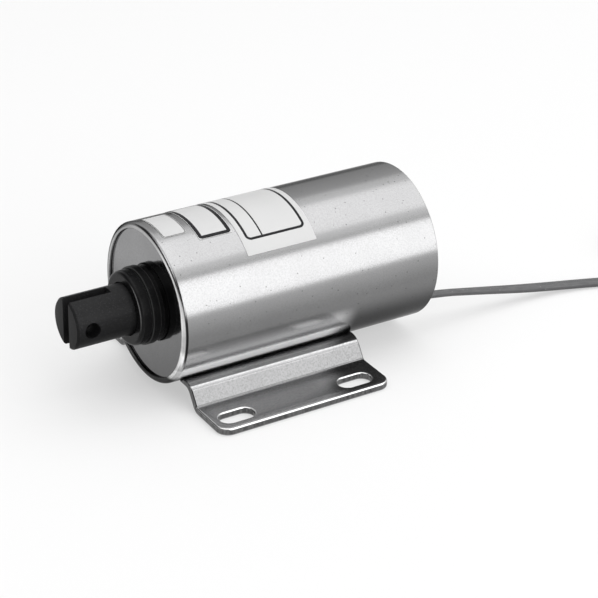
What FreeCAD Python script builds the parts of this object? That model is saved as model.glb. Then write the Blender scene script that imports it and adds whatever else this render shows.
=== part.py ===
# Tubular push pull solenoid with welded feet, a clevis plunger and a flat twin cord.
# Millimetres. The origin is the centre of the four foot slots, on the feet's underside.
# +Z is up, the plunger points to -X, and the cord leaves the rear end at +X.
import FreeCAD, Part
import Sketcher
import math
import os
from FreeCAD import Placement, Rotation, Vector

doc = FreeCAD.newDocument("Solenoid")

sizes = {
    # casing tube and its rolled front lip
    "casing_dia": 50.0,
    "casing_length": 90.0,
    "casing_wall": 1.4,
    "lip_thick": 0.9,
    "lip_reach": 0.6,
    "casing_front_round": 1.4,
    "casing_rear_chamfer": 0.3,
    "casing_lift": 2.3,
    # welded feet
    "foot_length": 59.6,
    "foot_setback": 4.3,
    "foot_shift": 0.7,
    "foot_half_width": 40.0,
    "foot_sheet": 2.3,
    "ledge_height": 6.1,
    "ledge_run": 1.14,
    "ledge_bend_radius": 2.7,
    "web_bend_radius": 1.2,
    "web_slope": 55.0,
    "foot_corner_radius": 4.0,
    "slot_end_inset": 9.05,
    "slot_edge_inset": 6.25,
    "slot_width": 6.0,
    "slot_length": 11.4,
    "weld_radius": 1.3,
    "weld_length": 7.0,
    "weld_pitch": 22.0,
    # front pole plate, guide collar and lock ring
    "front_plate_thick": 6.0,
    "plate_edge_chamfer": 0.3,
    "nose_dia": 23.0,
    "nose_length": 3.7,
    "nose_round": 1.1,
    "ring_dia": 24.2,
    "ring_width": 2.7,
    "ring_chamfer": 0.3,
    "ring_gap": 2.5,
    "groove_dia": 21.0,
    "collar_base_dia": 23.4,
    "collar_base_length": 1.3,
    "collar_spigot_dia": 20.4,
    "seat_clearance": 0.03,
    # plunger and its clevis
    "plunger_dia": 16.0,
    "plunger_clearance": 0.05,
    "plunger_reach": 19.0,
    "tip_chamfer": 0.6,
    "tail_chamfer": 1.0,
    "clevis_gap": 3.7,
    "clevis_depth": 14.0,
    "clevis_hole_dia": 5.0,
    "clevis_hole_back": 4.9,
    # guide tube, bobbin and winding
    "guide_wall": 0.5,
    "guide_overlap": 5.0,
    "cushion_thick": 1.0,
    "cushion_width": 3.0,
    "bobbin_wall": 0.9,
    "flange_gap": 1.2,
    "bobbin_flange_thick": 1.6,
    "winding_inset": 1.9,
    "tape_thick": 0.4,
    # fixed core and rear pole plate
    "core_face_depth": 45.0,
    "core_rivet_dia": 10.0,
    "core_chamfer": 0.8,
    "washer_thick": 0.4,
    "seat_gap": 0.1,
    "rear_plate_thick": 5.0,
    # electronics behind the rear plate
    "fibre_thick": 1.0,
    "fibre_gap": 1.1,
    "post_dia": 3.2,
    "post_length": 4.0,
    "post_inset": 3.5,
    "board_thick": 1.6,
    "board_gap": 3.1,
    "bridge_length": 10.0,
    "bridge_width": 8.0,
    "bridge_height": 3.6,
    "bridge_offset": 8.5,
    "leg_pitch": 5.0,
    "varistor_dia": 8.0,
    "varistor_thick": 3.2,
    "varistor_offset": 7.5,
    "joint_dia": 2.0,
    "joint_height": 0.8,
    "lead_dia": 1.3,
    "lead_inset": 1.5,
    "lead_hole_dia": 2.4,
    "lead_spread": 14.0,
    # rear cover, grommet and cord clamp
    "cover_thick": 2.4,
    "cover_recess": 0.8,
    "cover_skirt_wall": 1.6,
    "cover_skirt_length": 3.0,
    "cover_dish_dia": 24.0,
    "cover_dish_depth": 0.6,
    "cord_exit_inset": 5.63,
    "cord_exit_angle": 38.3,
    "grommet_dia": 6.0,
    "grommet_flange_dia": 7.8,
    "grommet_flange_thick": 1.1,
    "clamp_length": 3.6,
    "clamp_width": 6.4,
    "clamp_height": 5.6,
    "clamp_room_dia": 9.4,
    "conductor_dia": 1.1,
    "conductor_length": 2.6,
    # labels over the top of the casing, each on its layer of glue, with angles from the top
    "label_glue": 0.08,
    "label_thick": 0.08,
    "front_label_start": 3.1,
    "front_label_width": 7.9,
    "front_label_half_angle": 16.5,
    "middle_label_start": 13.1,
    "middle_label_width": 11.1,
    "middle_label_half_angle": 25.5,
    "rating_label_start": 25.4,
    "rating_label_width": 23.8,
    "rating_label_half_angle": 46.0,
    # cord
    "cord_width": 3.8,
    "cord_coil_mid_dia": 41.0,
    "cord_coil_build": 8.2,
    "cord_coil_height": 5.2,
    "cord_coil_bevel": 1.4,
    "tie_width": 4.0,
    "tie_wall": 0.8,
    "tail_length": 17.0,
    "tip_dia": 1.2,
    "tip_length": 8.0,
}

# Sizes that follow from the ones above. The slots keep their distance to the feet's ends, the
# discs inside keep their gaps to the casing's bore, and the cord leaves low on the near side,
# at an angle from straight down.
followed = {
    "slot_pitch_x": "foot_length - 2 * slot_end_inset",
    "axis_height": "casing_dia / 2 + casing_lift",
    "bore_dia": "casing_dia - 2 * casing_wall",
    "bobbin_flange_dia": "bore_dia - 2 * flange_gap",
    "winding_dia": "bobbin_flange_dia - 2 * winding_inset",
    "fibre_dia": "bore_dia - 2 * fibre_gap",
    "board_dia": "bore_dia - 2 * board_gap",
    "post_circle": "board_dia - 2 * post_inset",
    "lead_circle": "board_dia - 2 * lead_inset",
    "ledge_end_y": "sqrt((casing_dia / 2)^2 - (axis_height - ledge_height - foot_sheet)^2)",
    "ledge_bend_y": "ledge_end_y + ledge_run",
    "cord_exit_y": "0 - (casing_dia / 2 - cord_exit_inset) * sin(cord_exit_angle * 1 deg)",
    "cord_exit_height": "axis_height - (casing_dia / 2 - cord_exit_inset) * cos(cord_exit_angle * 1 deg)",
}

sheet = doc.addObject("Spreadsheet::Sheet", "Size")
cells = [(alias, str(value)) for alias, value in sizes.items()]
cells += [(alias, f"={formula}") for alias, formula in followed.items()]
for row, (alias, content) in enumerate(cells, start=1):
    sheet.set(f"A{row}", alias)
    sheet.set(f"B{row}", content)
    sheet.setAlias(f"B{row}", alias)
doc.recompute()

subparts = []

# Depths along the axis, from the casing's front face rearwards.
casingFront = "(Size.foot_shift - Size.foot_length / 2 - Size.foot_setback)"
plateFace = "Size.lip_thick"
plateBack = "(Size.lip_thick + Size.front_plate_thick)"
collarFront = "(Size.lip_thick - Size.nose_length - Size.ring_width - Size.collar_base_length)"
plungerTip = f"({collarFront} - Size.plunger_reach)"
bobbinFront = f"({plateBack} + Size.cushion_thick)"
coverBack = "(Size.casing_length - Size.cover_recess)"
coverFront = f"({coverBack} - Size.cover_thick)"
clampBack = f"({coverFront} - Size.grommet_flange_thick)"
clampFront = f"({clampBack} - Size.clamp_length)"
boardBack = f"({clampFront} - Size.conductor_length)"
boardFront = f"({boardBack} - Size.board_thick)"
fibreBack = f"({boardFront} - Size.post_length)"
rearPlateBack = f"({fibreBack} - Size.fibre_thick)"
bobbinBack = f"({rearPlateBack} - Size.rear_plate_thick)"
bobbinLength = f"({bobbinBack} - {bobbinFront})"

# Radii that several pieces share.
boreRadius = "(Size.bore_dia / 2)"
slideRadius = "(Size.plunger_dia / 2 + Size.plunger_clearance)"
guideRadius = f"({slideRadius} + Size.guide_wall)"
bobbinBore = f"({guideRadius} + Size.seat_clearance)"
spoolRadius = f"({bobbinBore} + Size.bobbin_wall)"


def valueOf(expression):
    """The number that an expression on the sheet stands for."""
    return float(sheet.evalExpression(expression.replace("Size.", "")))


def place(piece, along="0", across="0", height="0", rotation=None):
    """Puts a piece at expressions for its place, with a fixed turn."""
    piece.Placement = Placement(Vector(), rotation or Rotation())
    piece.setExpression("Placement.Base.x", along)
    piece.setExpression("Placement.Base.y", across)
    piece.setExpression("Placement.Base.z", height)


def onAxis(piece, depth, rotation=None):
    """Puts a piece on the casing's axis, a depth behind the casing's front face."""
    place(piece, f"{casingFront} + {depth}", "0", "Size.axis_height", rotation)


def planeOf(body, role):
    """One of a body's own origin planes."""
    return next(p for p in body.Origin.OriginFeatures if p.Role == role)


def sketchOn(body, name, role):
    """A new sketch on one of the body's origin planes."""
    sketch = body.newObject("Sketcher::SketchObject", name)
    sketch.AttachmentSupport = [(planeOf(body, role), "")]
    sketch.MapMode = "FlatFace"
    return sketch


def bind(sketch, kind, geometry, expression):
    """Adds a dimension to a sketch and ties it to an expression on the sheet."""
    number = sketch.addConstraint(Sketcher.Constraint(kind, *geometry, valueOf(expression)))
    sketch.setExpression(f"Constraints[{number}]", expression)


def pinPoint(sketch, line, end, x, y):
    """Holds a point of a sketch at two expressions, or on an axis where one is zero."""
    if x == "0":
        sketch.addConstraint(Sketcher.Constraint("PointOnObject", line, end, -2))
    else:
        bind(sketch, "DistanceX", (-1, 1, line, end), x)
    if y == "0":
        sketch.addConstraint(Sketcher.Constraint("PointOnObject", line, end, -1))
    else:
        bind(sketch, "DistanceY", (-1, 1, line, end), y)


def polygon(sketch, points):
    """A closed outline whose corners are pairs of expressions."""
    places = [Vector(valueOf(x), valueOf(y), 0) for x, y in points]
    count = len(points)
    for k in range(count):
        sketch.addGeometry(Part.LineSegment(places[k], places[(k + 1) % count]), False)
    for k in range(count):
        sketch.addConstraint(Sketcher.Constraint("Coincident", k, 2, (k + 1) % count, 1))
    for k, (x, y) in enumerate(points):
        pinPoint(sketch, k, 1, x, y)


def turned(label, depth, outline):
    """A body turned about the casing's axis from an outline of depth and radius."""
    body = doc.addObject("PartDesign::Body", label)
    sketch = sketchOn(body, f"{label}_section", "XZ_Plane")
    polygon(sketch, outline)
    revolution = body.newObject("PartDesign::Revolution", f"{label}_turn")
    revolution.Profile = sketch
    revolution.ReferenceAxis = (sketch, ["H_Axis"])
    revolution.Angle = 360.0
    onAxis(body, depth)
    doc.recompute()
    subparts.append(body)
    return body


def ringEdges(shape, depth, radius):
    """Names of the circular edges about the local X axis at a depth and radius."""
    names = []
    for number, edge in enumerate(shape.Edges, start=1):
        if not isinstance(edge.Curve, Part.Circle):
            continue
        centre = edge.Curve.Center
        level = abs(centre.x - depth) < 1e-4 and math.hypot(centre.y, centre.z) < 1e-4
        if level and abs(edge.Curve.Radius - radius) < 1e-4:
            names.append(f"Edge{number}")
    return names


def dressEdges(body, kind, rings, expression):
    """A fillet or chamfer on circular edges given as pairs of depth and radius."""
    base = body.Tip
    names = [n for d, r in rings for n in ringEdges(base.Shape, valueOf(d), valueOf(r))]
    dress = body.newObject(f"PartDesign::{kind}", f"{body.Name}_{kind.lower()}")
    dress.Base = (base, names)
    field = "Radius" if kind == "Fillet" else "Size"
    dress.setExpression(field, expression)
    doc.recompute()
    return dress


def pocketThrough(body, sketch, name):
    """Cuts a sketch through the body in both directions."""
    before = body.Shape.Volume
    body.Document.recompute()
    if sketch.Shape.isNull() or "Invalid" in sketch.State:
        raise RuntimeError(f"{sketch.Name} doesn't solve")
    pocket = body.newObject("PartDesign::Pocket", name)
    pocket.Profile = sketch
    pocket.Type = "ThroughAll"
    pocket.Midplane = True
    doc.recompute()
    if body.Shape.Volume >= before - 1e-6:
        raise RuntimeError(f"{name} cuts nothing")
    return pocket


def circle(sketch, x, y, diameter):
    """A full circle at expressions for its centre."""
    centre = Vector(valueOf(x), valueOf(y), 0)
    number = sketch.addGeometry(Part.Circle(centre, Vector(0, 0, 1), valueOf(diameter) / 2), False)
    pinPoint(sketch, number, 3, x, y)
    bind(sketch, "Diameter", (number,), diameter)


def centredSlot(sketch, start, end, width):
    """A rectangle from one X to another, centred on the sketch's X axis."""
    left, right, half = valueOf(start), valueOf(end), valueOf(width) / 2
    turns = ((left, -half), (right, -half), (right, half), (left, half))
    corners = [Vector(cornerX, cornerY, 0) for cornerX, cornerY in turns]
    for k in range(4):
        sketch.addGeometry(Part.LineSegment(corners[k], corners[(k + 1) % 4]), False)
    for k in range(4):
        sketch.addConstraint(Sketcher.Constraint("Coincident", k, 2, (k + 1) % 4, 1))
    sketch.addConstraint(Sketcher.Constraint("Horizontal", 0))
    sketch.addConstraint(Sketcher.Constraint("Horizontal", 2))
    sketch.addConstraint(Sketcher.Constraint("Vertical", 3))
    sketch.addConstraint(Sketcher.Constraint("Symmetric", 1, 1, 1, 2, -1))
    bind(sketch, "DistanceY", (1, 1, 1, 2), width)
    bind(sketch, "DistanceX", (-1, 1, 1, 1), end)
    bind(sketch, "DistanceX", (0, 1, 0, 2), f"{end} - ({start})")


def disc(label, depth, thickness, outer, inner):
    """A flat ring or disc on the axis; the inner radius is "0" for a plain disc."""
    return turned(label, depth, [("0", inner), ("0", outer), (thickness, outer), (thickness, inner)])


def rod(name, diameter, length, along, across, height, rotation=Rotation(Vector(0, 1, 0), 90)):
    """A plain cylinder that runs along +X unless it is turned another way."""
    piece = doc.addObject("Part::Cylinder", name)
    piece.setExpression("Radius", f"{diameter} / 2")
    piece.setExpression("Height", length)
    place(piece, along, across, height, rotation)
    return piece


def block(name, length, width, height, along, across, level):
    """A plain block that starts at a place along X and is centred across Y."""
    piece = doc.addObject("Part::Box", name)
    piece.setExpression("Length", length)
    piece.setExpression("Width", width)
    piece.setExpression("Height", height)
    place(piece, along, f"{across} - {width} / 2", level)
    return piece


def group(label, pieces):
    """One node made of several separate solids."""
    node = doc.addObject("Part::Compound", label)
    node.Links = pieces
    doc.recompute()
    subparts.append(node)
    return node


def node(label, piece):
    """Gives a finished piece the name of its node."""
    piece.Label = label
    subparts.append(piece)
    return piece


# The casing is a steel tube whose front edge is rolled inwards over the front plate.
def makeCasing():
    outer = "Size.casing_dia / 2"
    lip = f"({boreRadius} - Size.lip_reach)"
    casing = turned(
        "casing",
        "0",
        [
            ("0", lip),
            ("0", outer),
            ("Size.casing_length", outer),
            ("Size.casing_length", boreRadius),
            ("Size.lip_thick", boreRadius),
            ("Size.lip_thick", lip),
        ],
    )
    dressEdges(casing, "Fillet", [("0", outer)], "Size.casing_front_round")
    rear = dressEdges(casing, "Chamfer", [("Size.casing_length", outer)], "Size.casing_rear_chamfer")
    rear.Label = "casing_rear_chamfer"
    return casing


# Corners of the foot's section, worked out from its bends. Y runs outwards, Z up.
def footSection():
    radius = valueOf("Size.casing_dia / 2")
    axis = valueOf("Size.axis_height")
    sheetThick = valueOf("Size.foot_sheet")
    slope = math.radians(valueOf("Size.web_slope"))
    inner = valueOf("Size.ledge_bend_radius")
    outer = inner + sheetThick
    hollow = valueOf("Size.web_bend_radius")
    under = valueOf("Size.ledge_height")
    width = valueOf("Size.foot_half_width")
    upBend = Vector(valueOf("Size.ledge_bend_y"), under - inner, 0)
    normal = Vector(math.sin(slope), math.cos(slope), 0)
    downZ = sheetThick + hollow
    run = (outer + hollow - (downZ - upBend.y) * normal.y) / normal.x
    downBend = Vector(upBend.x + run, downZ, 0)

    def onCasing(level):
        return Vector(math.sqrt(radius**2 - (axis - level) ** 2), level, 0)

    return {
        "axis": Vector(0, axis, 0),
        "radius": radius,
        "ledgeTop": onCasing(under + sheetThick),
        "ledgeUnder": onCasing(under),
        "upBend": upBend,
        "downBend": downBend,
        "upTop": upBend + Vector(0, outer, 0),
        "upTopEnd": upBend + normal * outer,
        "upUnder": upBend + Vector(0, inner, 0),
        "upUnderEnd": upBend + normal * inner,
        "downTop": downBend - normal * hollow,
        "downTopEnd": downBend - Vector(0, hollow, 0),
        "downUnder": downBend - normal * (hollow + sheetThick),
        "downUnderEnd": downBend - Vector(0, hollow + sheetThick, 0),
        "edgeTop": Vector(width, sheetThick, 0),
        "edgeUnder": Vector(width, 0, 0),
    }


def arcBetween(centre, start, end, turnBack):
    """An arc about a centre from one point to another, through the short way."""
    first = math.atan2(start.y - centre.y, start.x - centre.x)
    last = math.atan2(end.y - centre.y, end.x - centre.x)
    if turnBack:
        first, last = last, first
    radius = (start - centre).Length
    return Part.ArcOfCircle(Part.Circle(centre, Vector(0, 0, 1), radius), first, last)


# Each foot is one bent strip: a ledge butted to the casing, a sloping web and a flange.
# Its ends sit a little further back than its slots.
def makeFoot(label, turn):
    body = doc.addObject("PartDesign::Body", label)
    shift = "Size.foot_shift" if turn == 0 else "(0 - Size.foot_shift)"
    sketch = sketchOn(body, f"{label}_section", "YZ_Plane")
    sketch.setExpression("AttachmentOffset.Base.z", shift)
    p = footSection()
    seat = sketch.addGeometry(arcBetween(p["axis"], p["ledgeUnder"], p["ledgeTop"], False), False)
    ledgeTop = sketch.addGeometry(Part.LineSegment(p["ledgeTop"], p["upTop"]), False)
    upTop = sketch.addGeometry(arcBetween(p["upBend"], p["upTop"], p["upTopEnd"], True), False)
    webTop = sketch.addGeometry(Part.LineSegment(p["upTopEnd"], p["downTop"]), False)
    downTop = sketch.addGeometry(arcBetween(p["downBend"], p["downTop"], p["downTopEnd"], False), False)
    flangeTop = sketch.addGeometry(Part.LineSegment(p["downTopEnd"], p["edgeTop"]), False)
    edge = sketch.addGeometry(Part.LineSegment(p["edgeTop"], p["edgeUnder"]), False)
    flangeUnder = sketch.addGeometry(Part.LineSegment(p["edgeUnder"], p["downUnderEnd"]), False)
    downUnder = sketch.addGeometry(
        arcBetween(p["downBend"], p["downUnderEnd"], p["downUnder"], True), False
    )
    webUnder = sketch.addGeometry(Part.LineSegment(p["downUnder"], p["upUnderEnd"]), False)
    upUnder = sketch.addGeometry(arcBetween(p["upBend"], p["upUnderEnd"], p["upUnder"], False), False)
    ledgeUnder = sketch.addGeometry(Part.LineSegment(p["upUnder"], p["ledgeUnder"]), False)

    def meet(*ends):
        sketch.addConstraint(Sketcher.Constraint("Coincident", *ends))

    def blend(*ends):
        sketch.addConstraint(Sketcher.Constraint("Tangent", *ends))

    meet(seat, 2, ledgeTop, 1)
    blend(ledgeTop, 2, upTop, 2)
    blend(upTop, 1, webTop, 1)
    blend(webTop, 2, downTop, 1)
    blend(downTop, 2, flangeTop, 1)
    meet(flangeTop, 2, edge, 1)
    meet(edge, 2, flangeUnder, 1)
    blend(flangeUnder, 2, downUnder, 2)
    blend(downUnder, 1, webUnder, 1)
    blend(webUnder, 2, upUnder, 1)
    blend(upUnder, 2, ledgeUnder, 1)
    meet(ledgeUnder, 2, seat, 1)
    meet(upTop, 3, upUnder, 3)
    meet(downTop, 3, downUnder, 3)
    for line in (ledgeTop, flangeTop, flangeUnder, ledgeUnder):
        sketch.addConstraint(Sketcher.Constraint("Horizontal", line))
    sketch.addConstraint(Sketcher.Constraint("Vertical", edge))
    pinPoint(sketch, seat, 3, "0", "Size.axis_height")
    bind(sketch, "Radius", (seat,), "Size.casing_dia / 2")
    bind(sketch, "DistanceX", (-1, 1, upUnder, 3), "Size.ledge_bend_y")
    bind(sketch, "DistanceY", (-1, 1, ledgeUnder, 2), "Size.ledge_height")
    bind(sketch, "Radius", (upUnder,), "Size.ledge_bend_radius")
    bind(sketch, "Radius", (upTop,), "Size.ledge_bend_radius + Size.foot_sheet")
    bind(sketch, "Radius", (downTop,), "Size.web_bend_radius")
    bind(sketch, "Radius", (downUnder,), "Size.web_bend_radius + Size.foot_sheet")
    pinPoint(sketch, edge, 2, "Size.foot_half_width", "0")
    slope = Sketcher.Constraint("Angle", webUnder, math.radians(180 - valueOf("Size.web_slope")))
    slopeNumber = sketch.addConstraint(slope)
    sketch.setExpression(f"Constraints[{slopeNumber}]", "180 deg - Size.web_slope * 1 deg")
    pad = body.newObject("PartDesign::Pad", f"{label}_strip")
    pad.Profile = sketch
    pad.Midplane = True
    pad.setExpression("Length", "Size.foot_length")
    doc.recompute()
    cutSlots(body, label)
    roundFootCorners(body, label, valueOf(shift))
    place(body, rotation=Rotation(Vector(0, 0, 1), turn))
    subparts.append(body)
    return body


def cutSlots(body, label):
    """The two mounting slots of a foot, long along X."""
    sketch = sketchOn(body, f"{label}_slot", "XY_Plane")
    half = valueOf("(Size.slot_length - Size.slot_width) / 2")
    radius = valueOf("Size.slot_width / 2")
    x = valueOf("Size.slot_pitch_x / 2")
    y = valueOf("Size.foot_half_width - Size.slot_edge_inset")
    right = Part.Circle(Vector(x + half, y, 0), Vector(0, 0, 1), radius)
    left = Part.Circle(Vector(x - half, y, 0), Vector(0, 0, 1), radius)
    sketch.addGeometry(Part.ArcOfCircle(right, -math.pi / 2, math.pi / 2), False)
    sketch.addGeometry(Part.ArcOfCircle(left, math.pi / 2, 3 * math.pi / 2), False)
    sketch.addGeometry(
        Part.LineSegment(Vector(x + half, y + radius, 0), Vector(x - half, y + radius, 0)), False
    )
    sketch.addGeometry(
        Part.LineSegment(Vector(x - half, y - radius, 0), Vector(x + half, y - radius, 0)), False
    )
    for ends in ((0, 2, 2, 1), (2, 2, 1, 1), (1, 2, 3, 1), (3, 2, 0, 1)):
        sketch.addConstraint(Sketcher.Constraint("Tangent", *ends))
    sketch.addConstraint(Sketcher.Constraint("Horizontal", 2))
    sketch.addConstraint(Sketcher.Constraint("Equal", 0, 1))
    pinPoint(sketch, 0, 3, "Size.slot_pitch_x / 2 + (Size.slot_length - Size.slot_width) / 2",
             "Size.foot_half_width - Size.slot_edge_inset")
    bind(sketch, "DistanceX", (1, 3, 0, 3), "Size.slot_length - Size.slot_width")
    bind(sketch, "Radius", (0,), "Size.slot_width / 2")
    pocket = pocketThrough(body, sketch, f"{label}_slot_cut")
    pattern = body.newObject("PartDesign::Mirrored", f"{label}_slots")
    pattern.Originals = [pocket]
    pattern.MirrorPlane = (planeOf(body, "YZ_Plane"), [""])
    body.Tip = pattern
    doc.recompute()


def roundFootCorners(body, label, shift):
    """The radii at the flange's two outer corners."""
    length = valueOf("Size.foot_length / 2")
    width = valueOf("Size.foot_half_width")
    base = body.Tip
    corners = []
    for number, e in enumerate(base.Shape.Edges, start=1):
        spot = e.CenterOfMass
        atEnd = abs(abs(spot.x - shift) - length) < 1e-4
        if atEnd and abs(spot.y - width) < 1e-4 and len(e.Vertexes) == 2:
            corners.append(f"Edge{number}")
    fillet = body.newObject("PartDesign::Fillet", f"{label}_corners")
    fillet.Base = (base, corners)
    fillet.setExpression("Radius", "Size.foot_corner_radius")
    doc.recompute()


# Short fillet welds join each foot's ledge to the casing from below.
def makeFootWelds(feet):
    beads = []
    level = "Size.ledge_height"
    seatY = "sqrt((Size.casing_dia / 2)^2 - (Size.axis_height - Size.ledge_height)^2)"
    for side, sign in (("near", "-"), ("far", "")):
        for k in (-1, 0, 1):
            start = f"{k} * Size.weld_pitch - Size.weld_length / 2"
            bead = rod(f"weld_{side}_{k + 1}", "Size.weld_radius * 2", "Size.weld_length",
                       start, f"{sign}({seatY} + Size.seat_clearance)", level)
            beads.append(bead)
    raw = doc.addObject("Part::Compound", "weld_rods")
    raw.Links = beads
    shell = rod("weld_casing", "Size.casing_dia", "Size.foot_length",
                "Size.foot_shift - Size.foot_length / 2", "0", "Size.axis_height")
    cut = doc.addObject("Part::Cut", "weld_cut")
    cut.Base = raw
    cut.Tool = shell
    doc.recompute()
    solid = cut.Shape
    for foot in feet:
        solid = solid.cut(foot.Shape)
    welds = doc.addObject("Part::Feature", "foot_welds")
    welds.Shape = solid
    subparts.append(welds)


def makeFrontPlate():
    bore = "Size.collar_spigot_dia / 2"
    edge = boreRadius
    plate = turned(
        "front_plate",
        plateFace,
        [
            ("0", bore),
            ("0", edge),
            ("Size.front_plate_thick", edge),
            ("Size.front_plate_thick", bore),
        ],
    )
    dressEdges(plate, "Chamfer", [("Size.front_plate_thick", edge)], "Size.plate_edge_chamfer")


# The collar is turned: a nose, a groove for the lock ring, a base on the plate and a spigot in it.
def makeGuideCollar():
    nose = "Size.nose_dia / 2"
    groove = "Size.groove_dia / 2"
    base = "Size.collar_base_dia / 2"
    spigot = "(Size.collar_spigot_dia / 2 - Size.seat_clearance)"
    grooveStart = "Size.nose_length"
    grooveEnd = "(Size.nose_length + Size.ring_width)"
    baseEnd = "(Size.nose_length + Size.ring_width + Size.collar_base_length)"
    length = f"({baseEnd} + Size.front_plate_thick)"
    counterbore = f"({guideRadius} + Size.seat_clearance)"
    collar = turned(
        "guide_collar",
        collarFront,
        [
            ("0", slideRadius),
            ("0", nose),
            (grooveStart, nose),
            (grooveStart, groove),
            (grooveEnd, groove),
            (grooveEnd, base),
            (baseEnd, base),
            (baseEnd, spigot),
            (length, spigot),
            (length, counterbore),
            (f"({length} - Size.guide_overlap)", counterbore),
            (f"({length} - Size.guide_overlap)", slideRadius),
        ],
    )
    dressEdges(collar, "Fillet", [("0", nose)], "Size.nose_round")


# A snap ring with its gap on the far side.
def makeCollarRing():
    outer = "Size.ring_dia / 2"
    inner = "(Size.groove_dia / 2 + Size.seat_clearance)"
    width = "(Size.ring_width - 2 * Size.seat_clearance)"
    ring = disc("collar_ring", f"{collarFront} + Size.nose_length + Size.seat_clearance",
                width, outer, inner)
    dressEdges(ring, "Chamfer", [("0", outer), (width, outer)], "Size.ring_chamfer")
    sketch = sketchOn(ring, "collar_ring_gap", "XZ_Plane")
    centredSlot(sketch, "0 - 1", f"{width} + 1", "Size.ring_gap")
    before = ring.Shape.Volume
    pocket = ring.newObject("PartDesign::Pocket", "collar_ring_gap_cut")
    pocket.Profile = sketch
    pocket.setExpression("Length", f"{outer} + 1")
    doc.recompute()
    if ring.Shape.Volume >= before - 1e-6:
        raise RuntimeError("the ring's gap cuts nothing")


# The plunger is a black steel rod whose front end is slotted and cross-drilled as a clevis.
def makePlunger():
    radius = "Size.plunger_dia / 2"
    length = f"(Size.core_face_depth - Size.washer_thick - Size.seat_gap - {plungerTip})"
    plunger = turned(
        "plunger",
        plungerTip,
        [("0", "0"), ("0", radius), (length, radius), (length, "0")],
    )
    dressEdges(plunger, "Chamfer", [("0", radius)], "Size.tip_chamfer")
    tail = dressEdges(plunger, "Chamfer", [(length, radius)], "Size.tail_chamfer")
    tail.Label = "plunger_tail_chamfer"
    gap = sketchOn(plunger, "clevis_gap", "XY_Plane")
    centredSlot(gap, "0 - 1", "Size.clevis_depth", "Size.clevis_gap")
    pocketThrough(plunger, gap, "clevis_gap_cut")
    hole = sketchOn(plunger, "clevis_hole", "XZ_Plane")
    circle(hole, "Size.clevis_hole_back", "0", "Size.clevis_hole_dia")
    pocketThrough(plunger, hole, "clevis_hole_cut")


def makeGuideTube():
    start = f"({plateBack} - Size.guide_overlap)"
    length = f"({bobbinBack} - {start})"
    disc("guide_tube", start, length, guideRadius, slideRadius)


def makeBobbin():
    flange = "Size.bobbin_flange_dia / 2"
    thick = "Size.bobbin_flange_thick"
    length = bobbinLength
    far = f"({length} - {thick})"
    turned(
        "bobbin",
        bobbinFront,
        [
            ("0", bobbinBore),
            ("0", flange),
            (thick, flange),
            (thick, spoolRadius),
            (far, spoolRadius),
            (far, flange),
            (length, flange),
            (length, bobbinBore),
        ],
    )


def makeWinding():
    start = f"({bobbinFront} + Size.bobbin_flange_thick + Size.seat_clearance)"
    length = f"({bobbinLength} - 2 * Size.bobbin_flange_thick - 2 * Size.seat_clearance)"
    inner = f"({spoolRadius} + Size.seat_clearance)"
    outer = "Size.winding_dia / 2"
    wound = disc("coil_winding", start, length, outer, inner)
    wrap = f"({outer} + Size.seat_clearance)"
    disc("winding_tape", start, length, f"({wrap} + Size.tape_thick)", wrap)
    return wound


def makeCushion():
    outer = "Size.bobbin_flange_dia / 2"
    disc("bobbin_cushion", plateBack, "Size.cushion_thick", outer, f"({outer} - Size.cushion_width)")


# The fixed core fills the rear of the guide tube and is riveted into the rear plate.
def makeCore():
    radius = "(Size.plunger_dia / 2)"
    shoulder = f"({bobbinBack} - Size.core_face_depth)"
    length = f"({shoulder} + Size.rear_plate_thick)"
    rivet = "(Size.core_rivet_dia / 2)"
    core = turned(
        "fixed_core",
        "Size.core_face_depth",
        [
            ("0", "0"),
            ("0", radius),
            (shoulder, radius),
            (shoulder, rivet),
            (length, rivet),
            (length, "0"),
        ],
    )
    dressEdges(core, "Chamfer", [("0", radius)], "Size.core_chamfer")
    disc("seat_washer", "(Size.core_face_depth - Size.washer_thick)", "Size.washer_thick",
         f"({radius} - Size.core_chamfer)", "0")


def drillForLeads(body, name):
    """Two holes for the coil leads, side by side at the top."""
    sketch = sketchOn(body, name, "YZ_Plane")
    x = valueOf("Size.lead_spread / 2")
    y = valueOf("sqrt((Size.lead_circle / 2)^2 - (Size.lead_spread / 2)^2)")
    for k, sign in enumerate((1, -1)):
        spot = Vector(sign * x, y, 0)
        sketch.addGeometry(Part.Circle(spot, Vector(0, 0, 1), valueOf("Size.lead_hole_dia / 2")), False)
        bind(sketch, "Diameter", (k,), "Size.lead_hole_dia")
    bind(sketch, "DistanceY", (-1, 1, 0, 3), "sqrt((Size.lead_circle / 2)^2 - (Size.lead_spread / 2)^2)")
    sketch.addConstraint(Sketcher.Constraint("Symmetric", 0, 3, 1, 3, -2))
    bind(sketch, "DistanceX", (1, 3, 0, 3), "Size.lead_spread")
    pocketThrough(body, sketch, f"{name}_cut")


def makeRearPlate():
    rivet = "(Size.core_rivet_dia / 2 + Size.seat_clearance)"
    plate = disc("rear_plate", bobbinBack, "Size.rear_plate_thick", boreRadius, rivet)
    dressEdges(plate, "Chamfer", [("0", boreRadius)], "Size.plate_edge_chamfer")
    drillForLeads(plate, "rear_plate_lead_holes")
    fibre = disc("insulation_disc", rearPlateBack, "Size.fibre_thick", "Size.fibre_dia / 2", "0")
    drillForLeads(fibre, "insulation_disc_lead_holes")


def atAngle(circleDia, degrees):
    """Expressions for the two cross offsets of a point on a circle about the axis."""
    across = f"{circleDia} / 2 * sin({degrees} deg)"
    height = f"Size.axis_height + {circleDia} / 2 * cos({degrees} deg)"
    return across, height


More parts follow.
